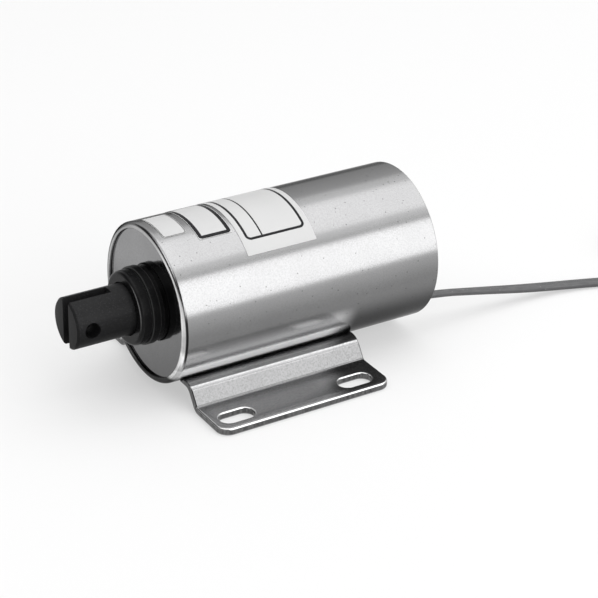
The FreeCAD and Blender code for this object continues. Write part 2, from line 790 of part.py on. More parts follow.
def makeElectronics():
    def x(depth):
        return f"{casingFront} + {depth}"

    posts = []
    for k, degrees in enumerate((60, 180, 300)):
        across, height = atAngle("Size.post_circle", degrees)
        posts.append(rod(f"post_{k}", "Size.post_dia", "Size.post_length", x(fibreBack), across, height))
    group("board_posts", posts)
    disc("rectifier_board", boardFront, "Size.board_thick", "Size.board_dia / 2", "0")
    bridge = block("bridge_rectifier", "Size.bridge_height", "Size.bridge_length", "Size.bridge_width",
                   x(f"{boardBack} + Size.seat_clearance"), "Size.bridge_offset",
                   "Size.axis_height - Size.bridge_width / 2")
    node("bridge_rectifier", bridge)
    varistor = rod("varistor", "Size.varistor_dia", "Size.varistor_thick",
                   x(f"{boardBack} + Size.seat_clearance"), "0 - Size.varistor_offset",
                   "Size.axis_height + Size.varistor_dia / 4")
    node("varistor", varistor)
    joints = []
    for k in range(4):
        level = f"Size.axis_height + {k - 1.5} * Size.leg_pitch"
        joints.append(rod(f"joint_{k}", "Size.joint_dia", "Size.joint_height",
                          x(f"({boardFront} - Size.joint_height)"), "Size.bridge_offset", level))
    group("solder_joints", joints)
    leads = []
    spread = "Size.lead_spread / 2"
    level = "Size.axis_height + sqrt((Size.lead_circle / 2)^2 - (Size.lead_spread / 2)^2)"
    for k, sign in enumerate(("", "-")):
        leads.append(rod(f"coil_lead_{k}", "Size.lead_dia", f"({boardFront} - {bobbinBack})",
                         x(bobbinBack), f"{sign}({spread})", level))
    group("coil_leads", leads)


cordY = "Size.cord_exit_y"
cordZ = "Size.cord_exit_height"


# The rear cover is a moulded cup with a shallow dish and a hole for the grommet.
def makeRearCover():
    edge = boreRadius
    skirt = f"({boreRadius} - Size.cover_skirt_wall)"
    dish = "Size.cover_dish_dia / 2"
    start = f"({coverFront} - Size.cover_skirt_length)"
    face = "(Size.cover_skirt_length + Size.cover_thick)"
    cover = turned(
        "rear_cover",
        start,
        [
            ("0", skirt),
            ("0", edge),
            (face, edge),
            (face, dish),
            (f"({face} - Size.cover_dish_depth)", dish),
            (f"({face} - Size.cover_dish_depth)", "0"),
            ("Size.cover_skirt_length", "0"),
            ("Size.cover_skirt_length", skirt),
        ],
    )
    room = offsetCircle(cover, "clamp_room", "Size.clamp_room_dia")
    before = cover.Shape.Volume
    pocket = cover.newObject("PartDesign::Pocket", "clamp_room_cut")
    pocket.Profile = room
    pocket.setExpression("Length", "Size.cover_skirt_length")
    pocket.Reversed = True
    doc.recompute()
    if cover.Shape.Volume >= before - 1e-6:
        raise RuntimeError("the room for the clamp cuts nothing")
    hole = offsetCircle(cover, "rear_cover_hole", "Size.grommet_dia")
    pocketThrough(cover, hole, "rear_cover_hole_cut")


def offsetCircle(body, name, diameter):
    """A circle round the cord, in the cover's own frame, whose origin is on the casing's axis."""
    sketch = sketchOn(body, name, "YZ_Plane")
    centre = Vector(valueOf(cordY), valueOf(f"{cordZ} - Size.axis_height"), 0)
    sketch.addGeometry(Part.Circle(centre, Vector(0, 0, 1), valueOf(diameter) / 2), False)
    bind(sketch, "DistanceX", (0, 3, -1, 1), f"0 - {cordY}")
    bind(sketch, "DistanceY", (0, 3, -1, 1), f"Size.axis_height - {cordZ}")
    bind(sketch, "Diameter", (0,), diameter)
    return sketch


def makeGrommet():
    neck = "(Size.grommet_dia / 2 - Size.seat_clearance)"
    flange = "Size.grommet_flange_dia / 2"
    bore = "(Size.cord_width / 2)"
    thick = "Size.grommet_flange_thick"
    wall = "Size.cover_thick"
    body = turned(
        "cord_grommet",
        f"({coverFront} - {thick})",
        [
            ("0", bore),
            ("0", flange),
            (thick, flange),
            (thick, neck),
            (f"({thick} + {wall})", neck),
            (f"({thick} + {wall})", flange),
            (f"({wall} + 2 * {thick})", flange),
            (f"({wall} + 2 * {thick})", bore),
        ],
    )
    place(body, f"{casingFront} + {coverFront} - {thick}", cordY, cordZ)
    dressEdges(body, "Chamfer", [(f"({wall} + 2 * {thick})", flange)], f"{thick} / 2")


# A small clamp inside the cover grips the cord, and two conductors go on to the board.
def makeClamp():
    x = f"{casingFront} + {clampFront}"
    body = block("clamp_block", "Size.clamp_length", "Size.clamp_width", "Size.clamp_height",
                 x, cordY, f"{cordZ} - Size.clamp_height / 2")
    hole = rod("clamp_hole", "Size.cord_width", "Size.clamp_length", x, cordY, cordZ)
    clamp = doc.addObject("Part::Cut", "cord_clamp")
    clamp.Base = body
    clamp.Tool = hole
    doc.recompute()
    subparts.append(clamp)
    wires = []
    for k, sign in enumerate(("-", "+")):
        wires.append(rod(f"conductor_{k}", "Size.conductor_dia", "Size.conductor_length",
                         f"{casingFront} + {boardBack}", f"{cordY} {sign} Size.cord_width / 4", cordZ))
    group("cord_conductors", wires)


# Labels lie on the casing as thin sectors of a tube, centred on the top.
def makeLabel(name):
    start = valueOf(f"{casingFront} + Size.{name}_start")
    width = valueOf(f"Size.{name}_width")
    halfAngle = valueOf(f"Size.{name}_half_angle")
    radius = valueOf("Size.casing_dia / 2 + Size.label_glue")
    thick = valueOf("Size.label_thick")
    axis = Vector(start, 0, valueOf("Size.axis_height"))
    tilt = math.radians(halfAngle)
    outward = Vector(0, -math.sin(tilt), math.cos(tilt))
    edge = Part.makeLine(axis + outward * radius, axis + outward * (radius + thick))
    strip = edge.revolve(axis, Vector(-1, 0, 0), 2 * halfAngle)
    label = doc.addObject("Part::Feature", name)
    label.Shape = strip.extrude(Vector(width, 0, 0)).Solids[0]
    subparts.append(label)


# The cord's route after the clamp: out of the grommet, down to the floor and on to the coil.
coilCentre = (168.0, -12.0)


def cordRoute():
    inside = valueOf(f"{casingFront} + {clampFront}")
    y = valueOf(cordY)
    z = valueOf(cordZ)
    floor = valueOf("Size.cord_width / 2")
    return [
        Vector(inside, y, z),
        Vector(64.0, y, z - 1.2),
        Vector(83.0, y - 0.3, 7.1),
        Vector(103.0, -13.2, 3.6),
        Vector(122.0, -15.8, floor),
        Vector(141.0, -22.8, floor),
        Vector(157.5, -31.8, floor),
    ]


def tubeAlong(name, points, radius):
    """A round tube along straight runs joined by tangent arcs; prints each arc's radius."""
    edges = []
    here = points[0]
    for before, corner, after in zip(points, points[1:], points[2:]):
        back = before - corner
        ahead = after - corner
        turn = math.pi - back.getAngle(ahead)
        reach = 0.45 * min(back.Length, ahead.Length)
        print(f"{name}: arc radius {reach / math.tan(turn / 2):.1f} mm")
        start = corner + back.normalize() * reach
        end = corner + ahead.normalize() * reach
        half = (end - start).Length / 2
        inward = corner - (start + end) * 0.5
        middle = (start + end) * 0.5 + inward.normalize() * half * math.tan(turn / 4)
        edges.append(Part.LineSegment(here, start).toShape())
        edges.append(Part.Arc(start, middle, end).toShape())
        here = end
    edges.append(Part.LineSegment(here, points[-1]).toShape())
    path = Part.Wire(edges)
    first = points[1] - points[0]
    section = Part.Wire([Part.makeCircle(radius, points[0], first)])
    solid = path.makePipeShell([section], True, True)
    expected = math.pi * radius**2 * path.Length
    if abs(solid.Volume - expected) > 0.01 * expected:
        raise RuntimeError(f"{name} has the wrong volume")
    print(f"{name}: length {path.Length:.1f} mm")
    feature = doc.addObject("Part::Feature", name)
    feature.Shape = solid
    subparts.append(feature)


# The stored cord is one closed ring, tied at its far side; its end is split and tinned.
def makeCord():
    radius = valueOf("Size.cord_width / 2")
    tubeAlong("cord_tube", cordRoute(), radius)
    centre = Vector(*coilCentre, 0)
    mid = valueOf("Size.cord_coil_mid_dia / 2")
    build = valueOf("Size.cord_coil_build")
    height = valueOf("Size.cord_coil_height")
    bevel = valueOf("Size.cord_coil_bevel")
    inner, outer = mid - build / 2, mid + build / 2
    corners = [
        (inner, bevel),
        (inner + bevel, 0),
        (outer - bevel, 0),
        (outer, bevel),
        (outer, height - bevel),
        (outer - bevel, height),
        (inner + bevel, height),
        (inner, height - bevel),
        (inner, bevel),
    ]
    outline = Part.makePolygon([Vector(r, 0, z) for r, z in corners])
    coil = Part.Face(outline).revolve(Vector(), Vector(0, 0, 1), 360)
    coil.translate(centre)
    tie = makeTie(centre, mid, build, height, coil)
    stored = doc.addObject("Part::Feature", "cord_coil")
    stored.Shape = coil.cut(tie)
    subparts.append(stored)
    makeTail(centre, mid + build / 4, radius)


def makeTie(centre, mid, build, height, coil):
    """A strap round the coil's section, flush with the floor, where it dents the coil."""
    wall = valueOf("Size.tie_wall")
    width = valueOf("Size.tie_width")
    span = build + 2 * wall
    strap = Part.makeBox(width, span, height + wall, centre + Vector(-width / 2, mid - span / 2, 0))
    base = Part.makeBox(width, span, wall, centre + Vector(-width / 2, mid - span / 2, 0))
    shape = strap.cut(coil).fuse(base).removeSplitter()
    tie = doc.addObject("Part::Feature", "cord_tie")
    tie.Shape = shape
    subparts.append(tie)
    return shape


def makeTail(centre, turnRadius, radius):
    """A short straight tail off the outer turn, and the two tips of its split end."""
    lean = math.radians(20)
    out = Vector(math.cos(lean), math.sin(lean), 0)
    start = centre + out * turnRadius + Vector(0, 0, radius)
    heading = Vector(0, 1, 0)
    length = valueOf("Size.tail_length")
    tail = doc.addObject("Part::Feature", "cord_tail")
    tail.Shape = Part.makeCylinder(radius, length, start, heading)
    subparts.append(tail)
    end = start + heading * length
    side = Vector(valueOf("Size.cord_width / 4"), 0, 0)
    bare = valueOf("Size.tip_length")
    tipRadius = valueOf("Size.tip_dia / 2")
    tips = doc.addObject("Part::Feature", "cord_tips")
    starts = (end + side, end - side)
    tips.Shape = Part.makeCompound([Part.makeCylinder(tipRadius, bare, s, heading) for s in starts])
    subparts.append(tips)


makeCasing()
makeFrontPlate()
makeGuideCollar()
makeCollarRing()
makePlunger()
makeGuideTube()
makeBobbin()
makeWinding()
makeCushion()
makeCore()
makeRearPlate()
makeElectronics()
makeRearCover()
makeGrommet()
makeClamp()
feet = [makeFoot("far_foot", 0), makeFoot("near_foot", 180)]
makeFootWelds(feet)
for labelName in ("front_label", "middle_label", "rating_label"):
    makeLabel(labelName)
makeCord()
doc.recompute()

for thing in doc.Objects:
    if "Invalid" in thing.State or "Error" in thing.State:
        raise RuntimeError(f"{thing.Name} failed: {thing.State}")
os.makedirs("parts", exist_ok=True)
for piece in subparts:
    if piece.Shape.isNull() or not piece.Shape.isValid():
        raise RuntimeError(f"{piece.Label} has no valid shape")
    piece.Shape.exportStep(f"parts/{piece.Label}.step")
    print(piece.Label, len(piece.Shape.Solids), round(piece.Shape.Volume, 1))
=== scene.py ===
import math

import bpy
import numpy as np
from mathutils import Matrix


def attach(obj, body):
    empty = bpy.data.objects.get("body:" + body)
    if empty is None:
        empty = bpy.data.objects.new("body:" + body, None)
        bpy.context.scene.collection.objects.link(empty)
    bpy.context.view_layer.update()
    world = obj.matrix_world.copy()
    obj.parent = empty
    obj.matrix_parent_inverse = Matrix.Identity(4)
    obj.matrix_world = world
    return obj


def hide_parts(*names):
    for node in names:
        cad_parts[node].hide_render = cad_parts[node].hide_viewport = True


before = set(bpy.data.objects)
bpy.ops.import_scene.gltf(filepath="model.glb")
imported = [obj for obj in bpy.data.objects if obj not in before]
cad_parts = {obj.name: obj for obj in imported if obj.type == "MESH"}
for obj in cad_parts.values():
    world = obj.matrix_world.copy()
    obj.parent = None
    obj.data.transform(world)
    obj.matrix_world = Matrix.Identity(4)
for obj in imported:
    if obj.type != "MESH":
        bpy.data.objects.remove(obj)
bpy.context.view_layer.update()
print("frame loaded")

mm = 0.001
axisHeight = 27.3
casingFront = -33.4


def addObject(name, data):
    made = bpy.data.objects.new(name, data)
    bpy.context.scene.collection.objects.link(made)
    return made


# The camera's place and its three directions, in metres.
cameraSetup = {
    "place": (-0.284546, -0.483454, 0.317334),
    "right": (0.850410, -0.525743, 0.019946),
    "up": (0.231051, 0.407257, 0.883605),
    "forward": (0.472672, 0.746818, -0.467808),
    "lens": 123.89,
    "sensor": 36.0,
    "clip": (0.01, 50.0),
}


def makeCamera(s):
    data = bpy.data.cameras.new("photoCamera")
    data.lens = s["lens"]
    data.sensor_width = s["sensor"]
    data.clip_start, data.clip_end = s["clip"]
    camera = addObject("photoCamera", data)
    turn = Matrix((s["right"], s["up"], tuple(-c for c in s["forward"]))).transposed()
    camera.matrix_world = Matrix.Translation(s["place"]) @ turn.to_4x4()
    bpy.context.scene.camera = camera


makeCamera(cameraSetup)


# Mesh helpers

def smoothStep(value, low, high):
    t = np.clip((value - low) / (high - low), 0, 1)
    return t * t * (3 - 2 * t)


def plateau(value, riseFrom, riseTo, fallFrom, fallTo):
    # 0, then 1 between the rise and the fall, then 0 again
    return smoothStep(value, riseFrom, riseTo) - smoothStep(value, fallFrom, fallTo)


def fullTurn(count):
    # the angles of a closed ring
    return np.linspace(0, 2 * math.pi, count, endpoint=False)


def onCircle(angles):
    return np.stack([np.cos(angles), np.sin(angles)], -1)


def arcPoints(radius, start, end, count):
    # points on an arc round the origin, from one angle to another in degrees
    return radius * onCircle(np.radians(np.linspace(start, end, count)))


def gridFaces(rows, cols, closedRows=False, closedCols=False):
    # four neighbours of every cell of a rows x cols grid, wrapping where it is closed
    r = np.arange(rows if closedRows else rows - 1)
    c = np.arange(cols if closedCols else cols - 1)
    i, j = np.meshgrid(r, c, indexing="ij")
    i2, j2 = (i + 1) % rows, (j + 1) % cols
    return np.stack([i * cols + j, i * cols + j2, i2 * cols + j2, i2 * cols + j], -1).reshape(-1, 4)


def tubeFaces(rows, cols):
    # a tube's wall and its two end lids
    ring = np.arange(cols)
    return [gridFaces(rows, cols, False, True), ring[None, ::-1], ring[None, :] + (rows - 1) * cols]


def signedVolume(points, faces):
    # sum of the tetrahedra that the faces' fans make with the origin
    total = 0.0
    for face in faces:
        a = points[face[..., 0]]
        for k in range(1, face.shape[-1] - 1):
            b, c = points[face[..., k]], points[face[..., k + 1]]
            total += np.einsum("...i,...i->...", a, np.cross(b, c)).sum() / 6
    return total


def outward(points, faceSets):
    # the faces turned so that they hold a positive volume
    if signedVolume(points - points.mean(0), faceSets) < 0:
        return [f[..., ::-1] for f in faceSets]
    return faceSets


def joinTubes(grids):
    # several closed tubes as one array of points and one list of faces
    sets, faces, base = [], [], 0
    for grid in grids:
        points = grid.reshape(-1, 3)
        faces.extend(f + base for f in outward(points, tubeFaces(*grid.shape[:2])))
        sets.append(points)
        base += len(points)
    return np.concatenate(sets), faces


def meshOf(name, points, faceSets):
    # millimetre points and arrays of faces as an outward-facing mesh in metres
    points = np.asarray(points, float).reshape(-1, 3)
    faces = [row for f in outward(points, faceSets) for row in f.tolist()]
    mesh = bpy.data.meshes.new(name)
    mesh.from_pydata((points * mm).tolist(), [], faces)
    mesh.update()
    return mesh


def shadeSmooth(mesh, sharpAngle):
    mesh.shade_smooth()
    if sharpAngle:
        mesh.set_sharp_from_angle(angle=math.radians(sharpAngle))


def makePiece(name, points, faceSets, material, slotName, body="casing", sharpAngle=None):
    mesh = meshOf(name, points, faceSets)
    mesh.validate()
    mesh.update()
    shadeSmooth(mesh, sharpAngle)
    mesh.materials.append(material)
    piece = addObject(name, mesh)
    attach(piece, body)
    return piece


def readAll(items, field, kind, width=1):
    # one field of every item as a flat array
    values = np.empty(len(items) * width, kind)
    items.foreach_get(field, values)
    return values


def setAttribute(piece, values, name="edgeMask", domain="POINT"):
    # a number per point or face that the material reads; edgeMask is 1 on edges bared by use and on
    # edges with a painted highlight
    attribute = piece.data.attributes.new(name, "FLOAT", domain)
    attribute.data.foreach_set("value", np.asarray(values, np.float32))


def setUv(piece, values):
    # a UV map from one pair per point
    uvs = piece.data.uv_layers.new(name="UVMap")
    index = readAll(piece.data.loops, "vertex_index", int)
    uvs.data.foreach_set("uv", values[index].ravel())


def roundedLoop(corners, support=0.06):
    # a closed outline of (x, y, radius, steps): each corner becomes an arc tangent to its two
    # sides, with a support point just before and after it; also gives an edge mask, 1 on arcs
    points, mask = [], []
    count = len(corners)
    for k, (x, y, radius, steps) in enumerate(corners):
        here = np.array([x, y], float)
        if radius <= 0:
            points.append(here)
            mask.append(0.0)
            continue
        toBefore = np.array(corners[k - 1][:2], float) - here
        toAfter = np.array(corners[(k + 1) % count][:2], float) - here
        lengthBefore, lengthAfter = np.linalg.norm(toBefore), np.linalg.norm(toAfter)
        a, b = toBefore / lengthBefore, toAfter / lengthAfter
        half = math.acos(np.clip(a @ b, -1, 1)) / 2
        reach = radius / math.tan(half)
        middle = here + (a + b) / np.linalg.norm(a + b) * radius / math.sin(half)
        first, last = here + a * reach, here + b * reach
        start = math.atan2(*(first - middle)[::-1])
        sweep = math.atan2(*(last - middle)[::-1]) - start
        sweep = (sweep + math.pi) % (2 * math.pi) - math.pi
        if lengthBefore > reach + 2 * support:
            points.append(first + a * support)
            mask.append(0.0)
        angles = start + sweep * np.linspace(0, 1, steps + 1)
        points.extend(middle + radius * onCircle(angles))
        mask.extend([1.0] * (steps + 1))
        if lengthAfter > reach + 2 * support:
            points.append(last + b * support)
            mask.append(0.0)
    return np.array(points), np.array(mask)


def turnedPoints(profile, angles):
    # every (depth, radius) of the profile carried round the axis; angle 0 is the top, towards -Y
    depth, radius, angles = profile[:, :1], profile[:, 1:], angles[None, :]
    x = casingFront + depth + 0 * angles
    return np.stack([x, -radius * np.sin(angles), axisHeight + radius * np.cos(angles)], -1)


def turnedPiece(name, profile, material, slotName, segments):
    points = turnedPoints(profile, fullTurn(segments))
    faces = gridFaces(len(profile), segments, True, True)
    return makePiece(name, points, [faces], material, slotName)


def evaluatedMesh(item):
    # a curve as a line of points, or a mesh with its modifiers in it
    bpy.context.view_layer.update()
    view = bpy.context.evaluated_depsgraph_get()
    return bpy.data.meshes.new_from_object(item.evaluated_get(view))


def applyModifiers(piece):
    mesh, old = evaluatedMesh(piece), piece.data
    piece.modifiers.clear()
    piece.data = mesh
    bpy.data.meshes.remove(old)
    piece.data.name = piece.name


def cutAway(piece, cutters):
    # takes the cutters' space out of the piece
    for k, cutter in enumerate(cutters):
        step = piece.modifiers.new(f"cut{k}", "BOOLEAN")
        step.operation = "DIFFERENCE"
        step.solver = "EXACT"
        step.object = cutter
    applyModifiers(piece)
    for cutter in cutters:
        mesh = cutter.data
        bpy.data.objects.remove(cutter)
        bpy.data.meshes.remove(mesh)


def cutterFrom(name, outline, direction, start, end):
    # a prism: a closed outline of 3-D points carried from start to end along a direction
    outline, step = np.asarray(outline, float), np.asarray(direction, float)
    points = np.concatenate([outline + step * start, outline + step * end])
    return addObject(name, meshOf(name, points, tubeFaces(2, len(outline))))


def softenEdges(piece, s):
    # small rounded edges on a cut piece, where its faces meet at more than an angle
    bevel = piece.modifiers.new("softEdges", "BEVEL")
    bevel.width = s["softEdge"] * mm
    bevel.segments = s["edgeSteps"]
    bevel.limit_method = "ANGLE"
    bevel.angle_limit = math.radians(s["softenOver"])
    bevel.harden_normals = False
    applyModifiers(piece)
    shadeSmooth(piece.data, s["sharpOver"])


# Material helpers: a node's owner is a material, the world, a node group or one of its sockets

def gray(value):
    return (value, value, value)


def timesColor(color, factor):
    return tuple(min(1, c * factor) for c in color)


def isSocket(value):
    return isinstance(value, bpy.types.NodeSocket)


def treeOf(owner):
    if isinstance(owner, bpy.types.NodeTree):
        return owner
    return owner.id_data if isSocket(owner) else owner.node_tree


def link(output, socket):
    treeOf(socket).links.new(output, socket)


def setSocket(socket, value):
    # a link, a colour or a number
    if isSocket(value):
        link(value, socket)
    elif socket.type == "RGBA":
        socket.default_value = (*value, 1)
    else:
        socket.default_value = value


def addNode(owner, kind, **fields):
    # a node with its sockets and settings, by name
    node = treeOf(owner).nodes.new("ShaderNode" + kind)
    for field, value in fields.items():
        if field in node.inputs:
            setSocket(node.inputs[field], value)
        else:
            setattr(node, field, value)
    return node


def mathNode(operation, a, b=0.0, clamp=False):
    node = addNode(a if isSocket(a) else b, "Math", operation=operation, use_clamp=clamp)
    for socket, value in zip(node.inputs, (a, b)):
        setSocket(socket, value)
    return node.outputs[0]


def mixColor(factor, a, b):
    node = addNode(factor, "Mix", data_type="RGBA")
    for place, value in ((0, factor), (6, a), (7, b)):
        setSocket(node.inputs[place], value)
    return node.outputs[2]


def mapValue(value, low, high, atLow=0.0, atHigh=1.0, kind="LINEAR"):
    # atLow at low, atHigh at high
    node = addNode(value, "MapRange", interpolation_type=kind, Value=value)
    for socket, number in zip(list(node.inputs)[1:5], (low, high, atLow, atHigh)):
        socket.default_value = number
    return node.outputs["Result"]


def smoothMap(value, low, high, atLow=0.0, atHigh=1.0):
    return mapValue(value, low, high, atLow, atHigh, "SMOOTHSTEP")


def bandMap(axis, low, high, atLow=0.0, atHigh=1.0):
    # a smooth change between two places on an axis, in millimetres
    return smoothMap(axis, low * mm, high * mm, atLow, atHigh)


def stepsAlong(axis, total, steps):
    # a factor that changes by some amount between two places on an axis, step after step
    for low, high, change in steps:
        total = mathNode("ADD", bandMap(axis, low, high, 0.0, change), total)
    return total


def objectPlace(owner):
    return addNode(owner, "TexCoord").outputs["Object"]


def uvPlace(owner):
    return addNode(owner, "UVMap", uv_map="UVMap").outputs[0]


def maskOf(owner, name):
    # a number that a piece keeps per point or face
    return addNode(owner, "Attribute", attribute_name=name).outputs["Fac"]


def axesOf(place):
    return tuple(addNode(place, "SeparateXYZ", Vector=place).outputs)


def streaks(place, scale):
    # noise drawn out by its own scale along each axis
    stretched = addNode(place, "Mapping", Vector=place, Scale=scale).outputs[0]
    noise = addNode(place, "TexNoise", Vector=stretched, Scale=1.0, Detail=3.0)
    return noise.outputs["Fac"]


def scaleColor(color, factor):
    node = addNode(color, "VectorMath", operation="SCALE", Vector=color, Scale=factor)
    return node.outputs[0]


def newGroup(name, inputs, outputs):
    # a node group, its input values and its results
    group = bpy.data.node_groups.new(name, "ShaderNodeTree")
    for socket, value in inputs.items():
        kind = "NodeSocketVector" if isinstance(value, tuple) else "NodeSocketFloat"
        group.interface.new_socket(socket, in_out="INPUT", socket_type=kind).default_value = value
    for socket in outputs:
        group.interface.new_socket(socket, in_out="OUTPUT", socket_type="NodeSocketFloat")
    source, sink = (group.nodes.new("NodeGroup" + side) for side in ("Input", "Output"))
    return group, source.outputs, sink.inputs


def groupNode(material, group, **values):
    return addNode(material, "Group", node_tree=group, **values).outputs


def makeGrainGroup():
    # uneven tone, fine grain and sparse pits of a metal skin, in object coordinates (metres)
    values = {"GrainSize": 0.25, "Stretch": (1.0, 1.0, 1.0), "PitShare": 0.3, "PitSize": 0.5}
    group, given, results = newGroup("metalSkin", values, ("Grain", "Pits", "Tone"))
    place = objectPlace(group)
    stretched = addNode(group, "VectorMath", operation="MULTIPLY", Vector=place)
    link(given["Stretch"], stretched.inputs[1])
    stretched = stretched.outputs[0]
    grain = addNode(group, "TexNoise", Vector=stretched, Detail=3.0, Roughness=0.6,
                    Scale=mathNode("DIVIDE", 1000.0, given["GrainSize"]))
    pits = addNode(group, "TexVoronoi", feature="F1", Vector=stretched,
                   Scale=mathNode("DIVIDE", 1000.0, given["PitSize"]))
    chance = addNode(group, "SeparateColor")
    link(pits.outputs["Color"], chance.inputs[0])
    spot = mathNode("LESS_THAN", pits.outputs["Distance"], 0.28)
    rare = mathNode("LESS_THAN", chance.outputs[0], given["PitShare"])
    tone = addNode(group, "TexNoise", Vector=place, Scale=90.0, Detail=2.0)
    link(grain.outputs["Fac"], results["Grain"])
    link(mathNode("MULTIPLY", spot, rare), results["Pits"])
    link(tone.outputs["Fac"], results["Tone"])
    return group


def makeWearAndHighlightGroup():
    # how bare a rounded edge is, and on some pieces the strength of a painted highlight: the
    # piece's own edge mask, broken up by noise
    group, given, results = newGroup("edgeWearAndHighlight", {"Amount": 0.5, "Size": 1.5}, ("WearAndHighlight",))
    noise = addNode(group, "TexNoise", Detail=4.0, Vector=objectPlace(group),
                    Scale=mathNode("DIVIDE", 1000.0, given["Size"]))
    broken = mathNode("ADD", noise.outputs["Fac"], given["Amount"])
    broken = mathNode("SUBTRACT", broken, 0.5, clamp=True)
    link(mathNode("MULTIPLY", maskOf(group, "edgeMask"), broken), results["WearAndHighlight"])
    return group


metalSkin = makeGrainGroup()
edgeWearAndHighlight = makeWearAndHighlightGroup()


# the stretch of a noise's values that holds most of it
middleOfNoise = (0.3, 0.7)


def shaderOf(material):
    return material.node_tree.nodes["Principled BSDF"]


def baseOf(material):
    return shaderOf(material).inputs["Base Color"].links[0].from_socket


def setBase(material, color):
    link(color, shaderOf(material).inputs["Base Color"])


def newMaterial(name, color, roughness, metallic=0.0, specular=0.5):
    material = bpy.data.materials.new(name)
    material.use_nodes = True
    values = {"Base Color": color, "Roughness": roughness, "Metallic": metallic,
              "Specular IOR Level": specular}
    for socket, value in values.items():
        setSocket(shaderOf(material).inputs[socket], value)
    return material


def dress(material, base, skin, rough, bump=None):
    # the base colour, a roughness that follows the grain, and a bump by height, strength and depth
    setBase(material, base)
    roughness = mapValue(skin["Grain"], *middleOfNoise, *rough)
    link(roughness, shaderOf(material).inputs["Roughness"])
    if bump:
        height, strength, depth = bump
        node = addNode(material, "Bump", Strength=strength, Distance=depth * mm, Height=height)
        link(node.outputs["Normal"], shaderOf(material).inputs["Normal"])


# What a metal finish has unless it says otherwise
metalFinish = {
    "metallic": 1.0, "specular": 0.5, "grainSize": 0.25, "stretch": (1.0, 1.0, 1.0),
    "pitShare": 0.15, "pitSize": 0.5, "toneSpread": 0.15, "grainTone": 0.8, "roughSpread": 0.05,
    "bumpHeight": 0.003, "wearAndHighlight": 0.0, "wearAndHighlightSize": 1.2,
}


def metalMaterial(name, own):
    # base tone with grain in colour, roughness and a fine bump; rounded edges a little brighter,
    # from use and, on some pieces, from a painted highlight
    s = {**metalFinish, **own}
    color, spread = s["color"], s["toneSpread"]
    material = newMaterial(name, color, s["roughness"], s["metallic"], s["specular"])
    skin = groupNode(material, metalSkin, GrainSize=s["grainSize"], Stretch=s["stretch"],
                     PitShare=s["pitShare"], PitSize=s["pitSize"])
    base = mixColor(mapValue(skin["Tone"], *middleOfNoise),
                    timesColor(color, 1 - spread), timesColor(color, 1 + spread))
    base = mixColor(mapValue(skin["Grain"], 0.42, 0.72), base, timesColor(color, s["grainTone"]))
    base = mixColor(skin["Pits"], base, s["pitColor"])
    if s["wearAndHighlight"]:
        wearAndHighlight = groupNode(material, edgeWearAndHighlight, Amount=s["wearAndHighlight"], Size=s["wearAndHighlightSize"])
        base = mixColor(wearAndHighlight["WearAndHighlight"], base, s["wearAndHighlightColor"])
    rough = s["roughness"] - s["roughSpread"], s["roughness"] + s["roughSpread"]
    dress(material, base, skin, rough, (skin["Grain"], 1.0, s["bumpHeight"]))
    return material


def shadeByHeight(material, low, high, under, over):
    # painted shade: the colour times a factor that runs from one value to another with height in
    # millimetres
    z = axesOf(objectPlace(material))[2]
    factor = bandMap(z, low, high, under, over)
    setBase(material, scaleColor(baseOf(material), factor))
    return material


# Cord: a flat twin cord, two round lobes side by side. The route is the one in the CAD source.

cord = {
    "lobeRadius": 1.2,
    "lobeOffset": 0.7,
    "ringPoints": 40,
    "floorHeight": 1.25,
    "route": [
        (48.7, -12.0, 12.1), (64.0, -12.0, 10.9), (83.0, -12.3, 7.1), (103.0, -13.2, 3.3),
        (122.0, -15.8, 1.3), (141.0, -22.8, 1.25),
    ],
    "exit": (56.6, -12.0, 12.1),
    "rollAtExit": 24.0,
    "rollOver": (70, 112),
    # the coil: its turns in degrees, and where it moves inwards, out again and up a layer
    "coilCentre": (168.0, -12.0),
    "turns": (-118.0, 740.0),
    "inward": (160, 250, 610, 690),
    "climb": (575, 640),
    "outerTurn": 22.5,
    "innerTurn": 18.6,
    "layerHeight": 2.5,
    "pointsPerTurn": 16,
    # the loose end's points, from the coil's centre
    "tail": [(21.2, 13.0, 3.7), (21.2, 18.5, 2.0), (21.2, 24.6, 1.25)],
    "color": (0.062, 0.062, 0.064),
    "dragColors": ((0.05, 0.05, 0.052), (0.078, 0.078, 0.08)),
    "dragScale": (260.0, 9.0, 1.0), "dragStrength": 0.6, "dragDepth": 0.02,
    "roughness": 0.42, "roughRange": (0.34, 0.52), "specular": 0.45, "pitColor": gray(0.12),
}


def coilPoints(s):
    # two turns and a bit: the outer turn first, then the inner one, then over both and out
    start, end = s["turns"]
    count = int(round((end - start) / 360 * s["pointsPerTurn"]))
    angle = np.linspace(start, end, count + 1)
    radius = s["outerTurn"] - (s["outerTurn"] - s["innerTurn"]) * plateau(angle, *s["inward"])
    height = s["floorHeight"] + s["layerHeight"] * smoothStep(angle, *s["climb"])
    turn = np.radians(angle)
    centre = np.array([*s["coilCentre"], 0.0])
    turns = centre + np.stack([radius * np.cos(turn), radius * np.sin(turn), height], -1)
    return np.concatenate([turns, centre + np.array(s["tail"])])


def routeLine(name, points):
    # a smooth spline with the points as control points, read back as a fine line
    data = bpy.data.curves.new(name, "CURVE")
    data.dimensions = "3D"
    data.resolution_u = 12
    spline = data.splines.new("NURBS")
    spline.points.add(len(points) - 1)
    flat = np.ones((len(points), 4))
    flat[:, :3] = np.asarray(points) * mm
    spline.points.foreach_set("co", flat.ravel())
    spline.order_u = 3
    spline.use_endpoint_u = True
    curve = addObject(name, data)
    mesh = evaluatedMesh(curve)
    line = np.array([v.co for v in mesh.vertices]) / mm
    bpy.data.meshes.remove(mesh)
    bpy.data.objects.remove(curve)
    bpy.data.curves.remove(data)
    return line


def twinSection(s):
    # outline of two equal circles side by side, by the angle round their middle
    t = fullTurn(s["ringPoints"])
    c, r = s["lobeOffset"], s["lobeRadius"]
    reach = c * np.abs(np.cos(t)) + np.sqrt(r * r - (c * np.sin(t)) ** 2)
    return np.stack([reach * np.cos(t), reach * np.sin(t)], -1)


